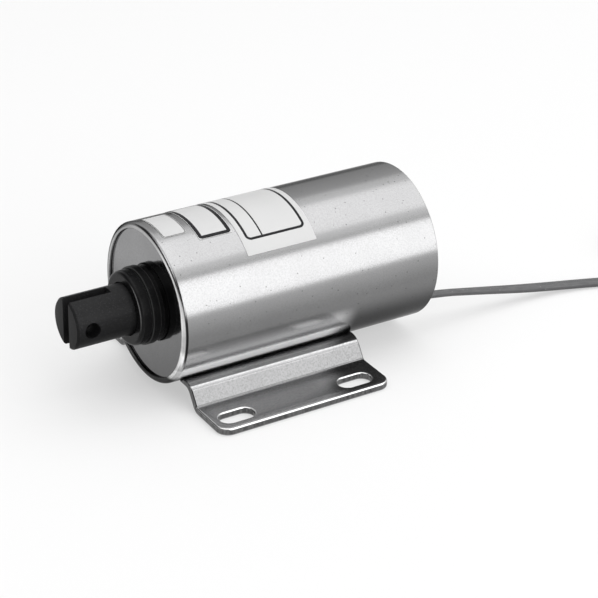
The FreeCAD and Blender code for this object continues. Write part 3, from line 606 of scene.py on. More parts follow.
def sweepAlong(line, section, roll):
    # the section carried along the line: its first axis level, turned by the roll in degrees
    tangent = np.gradient(line, axis=0)
    tangent /= np.linalg.norm(tangent, axis=1, keepdims=True)
    side = np.cross(tangent, np.array([0.0, 0.0, 1.0]))
    side /= np.linalg.norm(side, axis=1, keepdims=True)
    up = np.cross(side, tangent)
    a = np.radians(roll)[:, None]
    wide = side * np.cos(a) + up * np.sin(a)
    thick = up * np.cos(a) - side * np.sin(a)
    rings = line[:, None, :] + section[None, :, 0, None] * wide[:, None, :]
    return rings + section[None, :, 1, None] * thick[:, None, :]


def cordMaterial(s):
    # dull plastic with faint drag lines along the cord
    material = newMaterial("cordJacket", s["color"], s["roughness"], 0.0, s["specular"])
    drag = streaks(uvPlace(material), s["dragScale"])
    skin = groupNode(material, metalSkin, GrainSize=0.5, PitShare=0.08, PitSize=0.9)
    base = mixColor(mapValue(drag, *middleOfNoise), *s["dragColors"])
    base = mixColor(skin["Pits"], base, s["pitColor"])
    dress(material, base, skin, s["roughRange"], (drag, s["dragStrength"], s["dragDepth"]))
    return material


def makeCord(s):
    line = routeLine("cordRoute", np.concatenate([np.array(s["route"]), coilPoints(s)]))
    steps = np.linalg.norm(np.diff(line, axis=0), axis=1)
    line = line[np.concatenate([[True], steps > 1e-4])]
    along = np.concatenate([[0], np.cumsum(np.linalg.norm(np.diff(line, axis=0), axis=1))])
    roll = s["rollAtExit"] * (1 - smoothStep(line[:, 0], *s["rollOver"]))
    rings = sweepAlong(line, twinSection(s), roll)
    rows, cols = rings.shape[:2]
    piece = makePiece("twinCord", rings, tubeFaces(rows, cols), cordMaterial(s), "cord_jacket")
    setUv(piece, np.stack([np.repeat(along * mm, cols), np.tile(np.arange(cols) / cols, rows)], -1))
    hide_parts("cord_tube", "cord_coil", "cord_tail")
    inside = np.abs(line[:, 0] - s["exit"][0]).argmin()
    return piece, line, along[-1] - along[inside], line[inside]


cordPiece, cordLine, cordLength, cordExit = makeCord(cord)
print("cord made, free length", round(cordLength, 1), "mm")


# Materials of the metal pieces. Places are in millimetres, with changes of shade between them.

casingFinish = {
    "color": (0.29, 0.29, 0.292), "roughness": 0.2, "grainSize": 0.45, "pitShare": 0.03,
    "pitSize": 0.7, "pitColor": gray(0.12), "toneSpread": 0.03, "grainTone": 0.9,
    # here the edge colour is a painted highlight on the rolled front edge
    "roughSpread": 0.04, "bumpHeight": 0.0022, "wearAndHighlight": 1.0, "wearAndHighlightColor": gray(0.9),
    # painted light in millimetres: painted shade on the lower flank, behind the feet and far over
    # the top; over the feet a painted reflection of their web, with a painted shadow in the seam
    "flank": [(32.0, 25.5, -0.28)],
    "overFeet": [(22.8, 18.5, 1.5), (14.8, 13.4, 1.0), (10.6, 8.4, -3.0)],
    "overFeetX": (28.6, 18.6),
    "behindFeet": [(24.5, 14.5, -0.42)], "behindFeetX": (22.6, 29.6),
    "matte": [(14.8, 13.6, -0.65), (11.6, 9.8, 0.65)],
    "tint": gray(0.55), "farTint": gray(0.24), "farTopY": (3.5, 8.0), "farTopZ": (38.0, 44.0),
}


def casingMaterial(s):
    # bright plating with painted light: painted shade on the lower flank, behind the feet and far
    # over the top; above the feet a painted reflection of the feet's bright web, pale and less
    # metallic beside the seam, then a painted contact shadow in it; edgeShade is painted shade on
    # the rim
    material = metalMaterial("platedSteel", s)
    shader = shaderOf(material)
    x, y, z = axesOf(objectPlace(material))
    overFeet = bandMap(x, *s["overFeetX"])
    behindFeet = bandMap(x, *s["behindFeetX"])
    shade = stepsAlong(z, 1.0, s["flank"])
    for steps, where in ((s["overFeet"], overFeet), (s["behindFeet"], behindFeet)):
        part = mathNode("MULTIPLY", stepsAlong(z, 0.0, steps), where)
        shade = mathNode("ADD", shade, part)
    # painted shade: the far top's reflection tinted darker
    farTop = mathNode("MULTIPLY", bandMap(y, *s["farTopY"]), bandMap(z, *s["farTopZ"]))
    tint = mixColor(farTop, s["tint"], s["farTint"])
    link(tint, shader.inputs["Specular Tint"])
    bright = mathNode("SUBTRACT", 1.0, maskOf(material, "edgeShade"))
    shade = mathNode("MULTIPLY", shade, bright)
    setBase(material, scaleColor(baseOf(material), shade))
    # less metallic beside the seam, so that the painted reflection there reads pale
    matte = mathNode("MULTIPLY", stepsAlong(z, 0.0, s["matte"]), overFeet)
    link(mathNode("ADD", matte, 1.0), shader.inputs["Metallic"])
    return material


footFinish = {
    "color": (0.26, 0.26, 0.262), "roughness": 0.18, "grainSize": 0.55, "pitShare": 0.3,
    "pitSize": 0.6, "pitColor": gray(0.2), "toneSpread": 0.05,
    # painted light by height in millimetres: painted shade on the web, then a painted highlight
    # band and a painted shade band round the bend
    "bends": [(2.31, 2.45, -0.3), (6.3, 6.95, 1.0), (7.4, 7.62, -1.2), (7.9, 8.1, 0.45)],
    # the sheared faces' own colours, and the painted highlight on the flange's rims
    "shearedColor": (0.07, 0.07, 0.071), "shearedLight": gray(0.17), "rimColor": gray(0.6),
    "streakScale": (2600.0, 2600.0, 350.0),
}


def footMaterial(s):
    # plated sheet with painted light by height: painted shade on the web, and a painted highlight
    # and painted shade round the bend above it; sheared faces are darker with upright streaks, and
    # the flange's rims get a painted highlight
    material = metalMaterial("footSteel", s)
    place = objectPlace(material)
    shade = stepsAlong(axesOf(place)[2], 1.0, s["bends"])
    base = scaleColor(baseOf(material), shade)
    streak = mapValue(streaks(place, s["streakScale"]), 0.4, 0.62)
    raw = mixColor(streak, s["shearedColor"], s["shearedLight"])
    for name, color in (("sheared", raw), ("paintedHighlight", s["rimColor"])):
        base = mixColor(maskOf(material, name), base, color)
    setBase(material, base)
    return material


platedSteel = casingMaterial(casingFinish)
footSteel = footMaterial(footFinish)
weldSteel = metalMaterial("weldSteel", {
    "color": (0.4, 0.38, 0.36), "roughness": 0.45, "grainSize": 0.4, "pitShare": 0.3,
    "pitColor": (0.2, 0.18, 0.17), "toneSpread": 0.2, "grainTone": 0.7, "roughSpread": 0.1,
    "bumpHeight": 0.01,
})
# painted shade: darker low down, lighter higher up
plateSteel = shadeByHeight(metalMaterial("plateSteel", {
    "color": (0.16, 0.16, 0.162), "roughness": 0.1, "grainSize": 0.5, "pitColor": gray(0.12),
    "toneSpread": 0.08, "roughSpread": 0.03, "bumpHeight": 0.0008,
}), 24, 38, 1.05, 1.6)
coreSteel = metalMaterial("coreSteel", {
    "color": gray(0.5), "roughness": 0.3, "stretch": (4.0, 0.5, 0.5), "pitShare": 0.05,
    "pitColor": gray(0.3), "toneSpread": 0.05, "grainTone": 0.85, "bumpHeight": 0.002,
})
# its edge colour is a painted highlight on the front's rounding, and bared metal on its other edges
blackCollar = metalMaterial("blackCollar", {
    "color": (0.006, 0.006, 0.0063), "roughness": 0.24, "metallic": 0.0, "grainSize": 0.22,
    "pitShare": 0.25, "pitSize": 0.4, "pitColor": gray(0.02), "grainTone": 1.5, "wearAndHighlight": 0.85,
    "wearAndHighlightColor": gray(0.16), "specular": 0.07,
})
# painted shade: darker towards the bottom, lighter towards the top
blackPlunger = shadeByHeight(metalMaterial("blackPlunger", {
    "color": (0.011, 0.011, 0.0114), "roughness": 0.4, "metallic": 0.0, "grainSize": 0.22,
    "pitShare": 0.45, "pitSize": 0.42, "pitColor": (0.03, 0.03, 0.031), "grainTone": 1.7,
    "roughSpread": 0.08, "bumpHeight": 0.006, "specular": 0.06,
}), 21, 32, 0.3, 1.1)
blackSpring = metalMaterial("blackSpring", {
    "color": (0.005, 0.005, 0.0053), "roughness": 0.3, "metallic": 0.0, "pitSize": 0.4,
    "pitColor": gray(0.025), "grainTone": 1.4, "wearAndHighlight": 0.7, "wearAndHighlightColor": gray(0.03),
    "specular": 0.1,
})
print("metal finishes made")


# Casing: a tube with its front edge rolled in

casing = {
    "radius": 24.98, "length": 89.98, "wall": 1.38, "lipThick": 0.9, "lipRadius": 23.0,
    "frontRound": 1.4, "rearRound": 0.22, "ringsAt": (2.0, 3.4), "segments": 288,
    # stretches of the rolled edge, in degrees from the top round the near side
    "highlightNear": (15, 45, 100, 122), "streak": (66, 80, 108, 120), "bottom": (108, 128, 195, 215),
    "far": (195, 215, 318, 345),
    # radii up to which the painted highlight reaches, and from which the painted shade starts on
    # the far side
    "highlightAll": 24.1, "highlightWide": 24.75, "rimShadeFrom": 23.7,
    "streakDepth": (0.7, 1.42), "highlightBy": (0.35, 0.65), "rimShadeBy": (0.92, 0.4, 0.75),
}


def makeCasing(s):
    outer, inner, length = s["radius"], s["radius"] - s["wall"], s["length"]
    profile, _ = roundedLoop([
        (0, s["lipRadius"], 0.3, 4), (0, outer, s["frontRound"], 14),
        *((depth, outer, 0, 1) for depth in s["ringsAt"]),
        (length, outer, s["rearRound"], 4), (length, inner, 0.12, 2),
        (s["lipThick"], inner, 0.05, 2), (s["lipThick"], s["lipRadius"], 0.25, 3),
    ])
    depth, radius = profile[:, :1], profile[:, 1:]
    degrees = (np.arange(s["segments"]) * 360 / s["segments"])[None, :]
    # the rolled edge gets a painted highlight, in a broad band on the near side and a narrow one
    # elsewhere
    rolled = (depth < s["frontRound"]) & (depth < s["lipThick"] - 0.3)
    near = plateau(degrees, *s["highlightNear"])
    allRound, nearOnly = s["highlightBy"]
    rimHighlight = (radius < s["highlightAll"]) * allRound + (radius < s["highlightWide"]) * nearOnly * near
    rimHighlight = rolled * rimHighlight
    # painted shade where it turns into the tube: a dark streak low on the near side, the bottom,
    # the far side
    first, last = s["streakDepth"]
    front = depth < s["frontRound"] - 0.01
    streak, bottom, far = (by * plateau(degrees, *s[name])
                           for by, name in zip(s["rimShadeBy"], ("streak", "bottom", "far")))
    rimShade = streak * ((depth > first) & (depth < last))
    rimShade = rimShade + bottom * front + far * front * (radius > s["rimShadeFrom"])
    piece = turnedPiece("casingTube", profile, platedSteel, "plated_steel", s["segments"])
    setAttribute(piece, rimHighlight.ravel())
    setAttribute(piece, np.clip(rimShade, 0, 1).ravel(), "edgeShade")
    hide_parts("casing")


makeCasing(casing)
print("casing made")


# Front plate, guide collar and lock ring

collar = {
    "front": -6.8, "noseRadius": 11.5, "noseLength": 3.7, "noseRound": 1.1,
    # the first two: the near-side angles and the share of the front's rounding with a painted
    # highlight
    "highlightArc": (15.0, 45.0, 70.0, 115.0), "highlightShare": 0.22, "edgeWearAndHighlight": 0.25,
    "ringRadius": 12.08, "ringWidth": 2.64, "grooveWidth": 2.7, "ringRound": 0.3, "ringGap": 2.5,
    "ringPlay": 0.03, "fit": 0.04, "grooveRadius": 10.5, "baseRadius": 11.7, "bore": 8.05,
    "spigot": 10.16, "plateFace": 0.9, "plateThick": 6.0, "plateRadius": 23.58,
    "counterbore": 8.58, "overlap": 5.0, "segments": 160, "plateSegments": 192, "ringSteps": 150,
}


def makeCollar(s):
    front, noseEnd = s["front"], s["front"] + s["noseLength"]
    grooveEnd = noseEnd + s["grooveWidth"]
    back = s["plateFace"] + s["plateThick"]
    profile, mask = roundedLoop([
        (front, s["bore"] + 0.25, 0.08, 2), (front, s["noseRadius"], s["noseRound"], 9),
        (noseEnd, s["noseRadius"], 0.12, 2),
        (noseEnd, s["grooveRadius"], 0.1, 2), (grooveEnd, s["grooveRadius"], 0.1, 2),
        (grooveEnd, s["baseRadius"], 0.12, 2), (s["plateFace"], s["baseRadius"], 0.05, 2),
        (s["plateFace"], s["spigot"], 0.05, 2), (back, s["spigot"], 0.2, 2),
        (back, s["counterbore"], 0.1, 2), (back - s["overlap"], s["counterbore"], 0.05, 2),
        (back - s["overlap"], s["bore"], 0.05, 2), (front + 0.25, s["bore"], 0.08, 2),
    ], support=0.04)
    # a thin line on the front's rounding gets a painted highlight on the near side, fading at both
    # ends
    depth, radius = profile.T
    onRound = (depth > front + 0.03) & (depth < front + s["noseRound"] * s["highlightShare"])
    onRound &= radius > s["noseRadius"] - s["noseRound"]
    piece = turnedPiece("guideCollarTurning", profile, blackCollar, "black_steel", s["segments"])
    paintedHighlight = plateau(np.arange(s["segments"]) * 360 / s["segments"], *s["highlightArc"])
    mask = mask * s["edgeWearAndHighlight"] * (depth > front + s["noseRound"])
    setAttribute(piece, np.maximum(mask[:, None], onRound[:, None] * paintedHighlight[None, :]).ravel())
    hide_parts("guide_collar")


def makeLockRing(s):
    start = s["front"] + s["noseLength"] + s["ringPlay"]
    end, inner = start + s["ringWidth"], s["grooveRadius"] + s["fit"]
    profile, mask = roundedLoop([
        (start, inner, 0.1, 2), (start, s["ringRadius"], s["ringRound"], 5),
        (end, s["ringRadius"], s["ringRound"], 5), (end, inner, 0.1, 2),
    ])
    # open on the far side, at 270 degrees from the top round the near side
    half = math.degrees(s["ringGap"] / 2 / s["ringRadius"])
    angles = np.radians(np.linspace(-90 + half, 270 - half, s["ringSteps"]))
    points = turnedPoints(profile, angles).transpose(1, 0, 2)
    piece = makePiece("lockRing", points, tubeFaces(*points.shape[:2]), blackSpring, "spring_steel",
                      sharpAngle=50)
    setAttribute(piece, np.tile(mask, angles.size))
    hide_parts("collar_ring")


def makeFrontPlate(s):
    face, back = s["plateFace"], s["plateFace"] + s["plateThick"]
    inner = s["spigot"] + s["fit"]
    profile, mask = roundedLoop([
        (face, inner, 0.05, 2), (face, s["plateRadius"], 0.05, 2),
        (back, s["plateRadius"], 0.3, 2), (back, inner, 0.05, 2),
    ])
    segments = s["plateSegments"]
    piece = turnedPiece("frontPolePlate", profile, plateSteel, "machined_steel", segments)
    setAttribute(piece, np.repeat(mask, segments))
    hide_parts("front_plate")


makeCollar(collar)
makeLockRing(collar)
makeFrontPlate(collar)
print("front end made")


# Plunger: a black rod, slotted and cross-drilled at its tip

plunger = {
    "tip": -25.8, "radius": 7.99, "end": 44.5, "tipChamfer": 0.6, "tailChamfer": 1.0,
    "gap": 3.7, "gapDepth": 14.0, "hole": 2.5, "holeBack": 4.9, "through": 12, "past": 2,
    "segments": 128, "holeSegments": 64,
    "softEdge": 0.14, "edgeSteps": 3, "softenOver": 35, "sharpOver": 30,
}


def makePlunger(s):
    r, c, t = s["radius"], s["tipChamfer"], s["tailChamfer"]
    profile = np.array([(s["tip"], r - c), (s["tip"] + c, r), (s["end"] - t, r), (s["end"], r - t)])
    points = turnedPoints(profile, fullTurn(s["segments"]))
    piece = makePiece("plungerRod", points, tubeFaces(*points.shape[:2]), blackPlunger,
                      "plunger_steel", "plunger")
    tip, g, z, far = casingFront + s["tip"], s["gap"] / 2, axisHeight, s["through"]
    x0, x1 = tip - s["past"], tip + s["gapDepth"]
    gapBox = cutterFrom("gapCutter", [(x0, -g, z), (x1, -g, z), (x1, g, z), (x0, g, z)],
                        (0, 0, 1), -far, far)
    turn = fullTurn(s["holeSegments"])
    ring = np.stack([tip + s["holeBack"] + s["hole"] * np.cos(turn), 0 * turn,
                     z + s["hole"] * np.sin(turn)], -1)
    cutAway(piece, [gapBox, cutterFrom("holeCutter", ring, (0, 1, 0), -far, far)])
    softenEdges(piece, s)
    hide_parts("plunger")


makePlunger(plunger)
print("plunger made")


# Feet: bent strips with two slots each

foot = {
    "halfLength": 29.78, "shift": 0.7, "halfWidth": 39.98, "sheet": 2.3, "ledge": 6.1,
    "bendY": 17.5, "innerBend": 2.7, "webBend": 1.2, "slope": 55.0, "corner": 4.0,
    "casingRadius": 25.0, "slotX": 20.75, "slotY": 33.75, "slotWidth": 6.0, "slotLength": 11.4,
    "bendSteps": 12, "cornerSteps": 15, "slotSteps": 17, "cutFrom": -2, "cutTo": 6, "past": 2,
    "softEdge": 0.5, "edgeSteps": 4, "softenOver": 50, "sharpOver": 32,
    # how far the faces' normals point: up, less on walls and between on rims; along, more on ends
    "wallUnder": 0.15, "endOver": 0.95, "rims": (0.3, 0.985),
}


def footLine(s, offset):
    # one face of the bent strip as (across, height), offset 0 under it and 1 on its top
    thick = s["sheet"] * offset
    slope = math.radians(s["slope"])
    normal = np.array([math.sin(slope), math.cos(slope)])
    up = np.array([s["bendY"], s["ledge"] - s["innerBend"]])
    outer = s["innerBend"] + s["sheet"]
    downZ = s["sheet"] + s["webBend"]
    run = (outer + s["webBend"] - (downZ - up[1]) * normal[1]) / normal[0]
    down = np.array([up[0] + run, downZ])
    level = s["ledge"] + thick
    ledgeY = math.sqrt(s["casingRadius"] ** 2 - (axisHeight - level) ** 2)
    steps, webRadius = s["bendSteps"], s["webBend"] + s["sheet"] - thick
    upArc = up + arcPoints(s["innerBend"] + thick, 90, 90 - s["slope"], steps)
    downArc = down + arcPoints(webRadius, 270 - s["slope"], 270, steps)
    return np.concatenate([[(ledgeY, level)], upArc, downArc, [(s["halfWidth"], thick)]])


def cornerOutline(s, end):
    # the waste outside the flange's corner arc, in plan, at one end of the strip
    r, x, y, past = s["corner"], s["halfLength"], s["halfWidth"], s["past"]
    arc = np.array([x - r, y - r]) + arcPoints(r, 0, 90, s["cornerSteps"])
    loop = np.concatenate([arc, [(x - r, y + past), (x + past, y + past), (x + past, y - r)]])
    return np.stack([s["shift"] + end * loop[:, 0], loop[:, 1]], -1)


def slotOutline(s, end):
    # a long hole with round ends, in plan
    straight, radius = (s["slotLength"] - s["slotWidth"]) / 2, s["slotWidth"] / 2
    right = np.array([straight, 0]) + arcPoints(radius, -90, 90, s["slotSteps"])
    return np.array([end * s["slotX"], s["slotY"]]) + np.concatenate([right, -right])


def makeFoot(name, side, s):
    loop = np.concatenate([footLine(s, 1.0), footLine(s, 0.0)[::-1]])
    x = s["shift"] + np.array([-1, 1])[:, None] * s["halfLength"] + 0 * loop[None, :, 0]
    points = np.stack([x, side * loop[None, :, 0] + 0 * x, loop[None, :, 1] + 0 * x], -1)
    # the end lids are strips of quads between the top line and the one under it
    n = len(loop)
    k = np.arange(n // 2 - 1)
    lid = np.stack([k, k + 1, n - 2 - k, n - 1 - k], -1)
    faces = [gridFaces(2, n, False, True), lid[:, ::-1], lid + n]
    piece = makePiece(name, points, faces, footSteel, "foot_steel")
    cutters = []
    for end in (-1, 1):
        for kind, outline in (("Slot", slotOutline(s, end)), ("Corner", cornerOutline(s, end))):
            plan = np.stack([outline[:, 0], side * outline[:, 1], 0 * outline[:, 0]], -1)
            cutters.append(cutterFrom(f"{name}{kind}{end}", plan, (0, 0, 1), s["cutFrom"],
                                      s["cutTo"]))
    cutAway(piece, cutters)
    softenEdges(piece, s)
    # sheared faces: the ends, the outer edge and the slots' walls; a painted highlight: the
    # flange's rims
    faces = piece.data.polygons
    normals, centres = (readAll(faces, field, np.float32, 3).reshape(-1, 3)
                        for field in ("normal", "center"))
    level, upright = s["sheet"] * mm, normals[:, 2]
    walls = (np.abs(upright) < s["wallUnder"]) & (centres[:, 2] < level)
    ends = np.abs(normals[:, 0]) > s["endOver"]
    setAttribute(piece, walls | ends, "sheared", "FACE")
    least, most = s["rims"]
    paintedHighlight = (upright > least) & (upright < most) & (centres[:, 2] < level + 1e-5)
    setAttribute(piece, paintedHighlight, "paintedHighlight", "FACE")
    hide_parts("near_foot" if side < 0 else "far_foot")


makeFoot("nearFootStrip", -1, foot)
makeFoot("farFootStrip", 1, foot)
print("feet made")


# Welds under the ledges: short rippled beads in the corner between strip and tube

weld = {"radius": 1.25, "length": 6.8, "pitch": 22.0, "seatY": 13.25, "level": 6.1, "ripple": 0.09,
        "ripples": 14, "ends": 0.02, "bluntness": 0.35, "wide": 0.9, "high": 0.8,
        "steps": 33, "segments": 20}


def makeWelds(s):
    # radius along the bead: a blunt lens times a ripple
    u, v = np.linspace(0, math.pi, s["steps"])[:, None], fullTurn(s["segments"])[None, :]
    lens = np.sin(np.clip(u, s["ends"], math.pi - s["ends"])) ** s["bluntness"]
    radius = s["radius"] * lens * (1 + s["ripple"] * np.cos(u * s["ripples"]))
    beads = []
    for side in (-1, 1):
        for k in (-1, 0, 1):
            along = k * s["pitch"] - np.cos(u) * s["length"] / 2 + 0 * v
            y = side * (s["seatY"] + radius * np.cos(v) * s["wide"])
            beads.append(np.stack([along, y, s["level"] + radius * np.sin(v) * s["high"]], -1))
    piece = makePiece("footWeldBeads", *joinTubes(beads), weldSteel, "weld_steel")
    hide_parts("foot_welds")


makeWelds(weld)


# Labels: thin film patches over the top of the casing, bare but for their frame lines

labelFilm = {"white": gray(0.47), "thick": 0.07, "lift": 0.02, "line": 0.26, "bend": 25.0,
             "nearMargin": 0.0, "lines": [], "roughness": 0.38, "roughRange": (0.32, 0.44),
             "specular": 0.1, "paperTone": 0.97, "cornerSteps": 8, "aroundSteps": 40,
             "alongSteps": 15}
labels = {
    "frontLabel": {
        "node": "front_label", "start": 3.1, "width": 7.9, "half": 16.5, "corner": 1.0,
        "border": 0.3, "inset": 0.1, "round": 0.9, "ink": gray(0.12),
    },
    "middleLabel": {
        "node": "middle_label", "start": 13.1, "width": 11.1, "half": 25.5, "corner": 0.3,
        "border": 1.2, "inset": 0.15, "round": 0.6, "ink": (0.008, 0.008, 0.009),
    },
    "ratingLabel": {
        "node": "rating_label", "start": 25.4, "width": 23.8, "half": 46.0, "corner": 0.3,
        "border": 0.85, "inset": 1.7, "round": 1.4, "ink": (0.01, 0.01, 0.011),
        "nearMargin": 3.0, "lines": [7.2],
    },
}


def labelMaterial(name, s):
    # the frame and the cross line by distance in millimetres on the label's own UV; the paper is
    # wider at its near end
    material = newMaterial(name, s["white"], s["roughness"], 0.0, s["specular"])
    along, around, _ = axesOf(uvPlace(material))
    margin = s["inset"] + s["border"] / 2
    halfX = s["width"] / 2 - margin
    halfY = math.radians(s["half"]) * s["bend"] - margin - s["nearMargin"] / 2
    around = mathNode("ADD", around, s["nearMargin"] / 2)
    # signed distance from a rectangle with round corners
    over = [mathNode("SUBTRACT", mathNode("ABSOLUTE", place), half - s["round"])
            for place, half in ((along, halfX), (around, halfY))]
    squares = [mathNode("POWER", mathNode("MAXIMUM", part, 0.0), 2.0) for part in over]
    outside = mathNode("SQRT", mathNode("ADD", *squares))
    inside = mathNode("MINIMUM", mathNode("MAXIMUM", *over), 0.0)
    away = mathNode("SUBTRACT", mathNode("ADD", outside, inside), s["round"])
    ink = mathNode("LESS_THAN", mathNode("ABSOLUTE", away), s["border"] / 2)
    for place in s["lines"]:
        line = mathNode("SUBTRACT", along, place - s["width"] / 2)
        line = mathNode("LESS_THAN", mathNode("ABSOLUTE", line), s["line"])
        line = mathNode("MULTIPLY", line, mathNode("LESS_THAN", away, 0.0))
        ink = mathNode("MAXIMUM", ink, line)
    skin = groupNode(material, metalSkin, GrainSize=0.4, PitShare=0.03, PitSize=0.6)
    shaded = timesColor(s["white"], s["paperTone"])
    paper = mixColor(mapValue(skin["Tone"], *middleOfNoise), shaded, s["white"])
    dress(material, mixColor(ink, paper, s["ink"]), skin, s["roughRange"])
    return material


def makeLabel(name, s):
    # a patch of the casing's surface: along the tube, and round it by an angle from the top
    reach, corner = math.radians(s["half"]) * s["bend"], s["corner"]
    tip = reach - corner + corner * np.sin(np.radians(np.linspace(0, 90, s["cornerSteps"])))
    between = np.linspace(-reach + corner, reach - corner, s["aroundSteps"])[1:-1]
    arc = np.concatenate([-tip[::-1], between, tip])
    past = np.clip((np.abs(arc) - (reach - corner)) / corner, 0, 1)
    half = s["width"] / 2 - corner * (1 - np.sqrt(1 - past ** 2))
    x = np.linspace(-1, 1, s["alongSteps"])[:, None] * half[None, :]
    around = arc + 0 * x
    angle = around / s["bend"]
    under = s["bend"] + s["lift"]
    middle = casingFront + s["start"] + s["width"] / 2
    layers = [np.stack([middle + x, -r * np.sin(angle), axisHeight + r * np.cos(angle)], -1)
              for r in (under + s["thick"], under)]
    faces = gridFaces(*x.shape)
    grid = np.arange(x.size).reshape(x.shape)
    rim = np.concatenate([grid[0, :-1], grid[:-1, -1], grid[-1, :0:-1], grid[:0:-1, 0]])
    after = np.roll(rim, -1)
    wall = np.stack([after, rim, rim + x.size, after + x.size], -1)
    piece = makePiece(name, np.stack(layers), [faces, faces[:, ::-1] + x.size, wall],
                      labelMaterial(name + "Print", s), "label_film", sharpAngle=40)
    setUv(piece, np.stack([np.tile(x.ravel(), 2), np.tile(around.ravel(), 2)], -1))
    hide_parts(s["node"])


for labelName, labelSizes in labels.items():
    makeLabel(labelName, {**labelFilm, **labelSizes})
print("labels made")


# Rear end: grommet, cover, and the finishes of the pieces inside

def rubberMaterial(name, color, roughness):
    material = newMaterial(name, color, roughness, 0.0, 0.4)
    skin = groupNode(material, metalSkin, GrainSize=0.3, PitShare=0.12, PitSize=0.7)
    base = mixColor(mapValue(skin["Tone"], *middleOfNoise),
                    timesColor(color, 0.85), timesColor(color, 1.15))
    base = mixColor(skin["Pits"], base, timesColor(color, 1.6))
    dress(material, base, skin, (roughness - 0.08, roughness + 0.08), (skin["Grain"], 0.7, 0.01))
    return material


mouldedBlack = rubberMaterial("mouldedBlack", (0.045, 0.045, 0.047), 0.45)
softBlack = rubberMaterial("softBlack", (0.035, 0.035, 0.036), 0.55)

brass, copper = (0.72, 0.52, 0.2), (0.52, 0.2, 0.07)
nylon, tin = (0.72, 0.69, 0.6), (0.62, 0.62, 0.6)
insideFinishes = {
    "guide_tube": ("brassTube", brass, 0.28, 1.0),
    "seat_washer": ("brassWasher", brass, 0.3, 1.0),
    "coil_winding": ("copperWire", copper, 0.3, 0.6),
    "coil_leads": ("copperLead", copper, 0.35, 0.6),
    "winding_tape": ("yellowTape", (0.62, 0.44, 0.1), 0.35, 0.0),
    "bobbin": ("bobbinNylon", nylon, 0.5, 0.0),
    "board_posts": ("postNylon", nylon, 0.5, 0.0),
    "bobbin_cushion": ("foamRing", gray(0.05), 0.85, 0.0),
    "insulation_disc": ("pressedFibre", (0.24, 0.19, 0.13), 0.8, 0.0),
    "rectifier_board": ("boardMask", (0.03, 0.16, 0.07), 0.35, 0.0),
    "bridge_rectifier": ("blockBlack", (0.03, 0.03, 0.032), 0.5, 0.0),
    "varistor": ("varistorBlue", (0.05, 0.12, 0.4), 0.35, 0.0),
    "solder_joints": ("solderTin", tin, 0.3, 1.0),
    "cord_conductors": ("conductorTin", tin, 0.3, 1.0),
    "cord_clamp": ("clampNylon", gray(0.06), 0.5, 0.0),
}


def assignNode(node, material):
    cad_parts[node].data.materials.clear()
    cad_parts[node].data.materials.append(material)


for nodeName, (label, color, roughness, metallic) in insideFinishes.items():
    assignNode(nodeName, metalMaterial(label, {
        "color": color, "roughness": roughness, "metallic": metallic, "grainSize": 0.35,
        "pitShare": 0.08, "pitSize": 0.6, "pitColor": timesColor(color, 0.6), "toneSpread": 0.1,
        "grainTone": 0.85, "roughSpread": 0.06, "bumpHeight": 0.004,
    }))
assignNode("fixed_core", coreSteel)
assignNode("rear_plate", coreSteel)
assignNode("rear_cover", mouldedBlack)

grommet = {"y": -12.0, "z": 12.1, "neck": 2.96, "flange": 3.88, "bore": 1.9,
           "start": 85.7, "thick": 1.1, "wall": 2.4, "segments": 96}


def makeGrommet(s):
    start, neckStart = s["start"], s["start"] + s["thick"]
    neckEnd = neckStart + s["wall"]
    end = neckEnd + s["thick"]
    profile, _ = roundedLoop([
        (start, s["bore"], 0.3, 3), (start, s["flange"], 0.35, 4),
        (neckStart, s["flange"], 0.2, 3), (neckStart, s["neck"], 0.1, 2),
        (neckEnd, s["neck"], 0.1, 2), (neckEnd, s["flange"], 0.15, 3),
        (end, s["flange"], 0.45, 5), (end, s["bore"], 0.5, 4),
    ], support=0.05)
    points = turnedPoints(profile, fullTurn(s["segments"]))
    points = points + np.array([0, s["y"], s["z"] - axisHeight])
    piece = makePiece("cordGrommet", points, [gridFaces(*points.shape[:2], True, True)], softBlack,
                      "grommet_rubber")
    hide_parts("cord_grommet")


makeGrommet(grommet)


# The cord's tie and its two tinned tips

tips = {"x": 189.2, "gap": 0.95, "spread": 0.12, "start": 12.7, "level": 1.25, "sleeve": 3.0,
        "length": 7.9, "sleeveRadius": 0.93, "wireRadius": 0.52, "segments": 28, "strands": 7,
        "strandHeight": 0.03, "twist": 3.0}


def makeTips(s):
    # each a sleeve and a bare end whose radius follows its twisted strands
    sleeve, wire, length = s["sleeveRadius"], s["wireRadius"], s["length"]
    profile, _ = roundedLoop([
        (0, 0.001, 0, 1), (0, sleeve, 0.1, 2), (s["sleeve"], sleeve, 0.12, 2),
        (s["sleeve"], wire, 0.05, 2), (length, wire, 0.35, 4), (length, 0.001, 0, 1),
    ], support=0.05)
    depth, radius, angles = profile[:, :1], profile[:, 1:], fullTurn(s["segments"])[None, :]
    bare = (depth > s["sleeve"] + 0.3) & (radius > 0.3)
    strands = np.cos(s["strands"] * angles + depth * s["twist"])
    radius = radius + s["strandHeight"] * strands * bare
    tubes = []
    for sign in (-1, 1):
        x = s["x"] + sign * (s["gap"] + s["spread"] * depth) + radius * np.cos(angles)
        y = s["start"] + depth + 0 * angles
        tubes.append(np.stack([x, y, s["level"] + radius * np.sin(angles)], -1))
    material = metalMaterial("tinnedWire", {
        "color": (0.6, 0.6, 0.58), "roughness": 0.3, "grainSize": 0.2, "pitShare": 0.1,
        "pitSize": 0.3, "pitColor": (0.4, 0.4, 0.38), "toneSpread": 0.1, "roughSpread": 0.06,
        "bumpHeight": 0.004,
    })
    piece = makePiece("tinnedTips", *joinTubes(tubes), material, "tin", sharpAngle=50)
    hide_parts("cord_tips")
    return piece


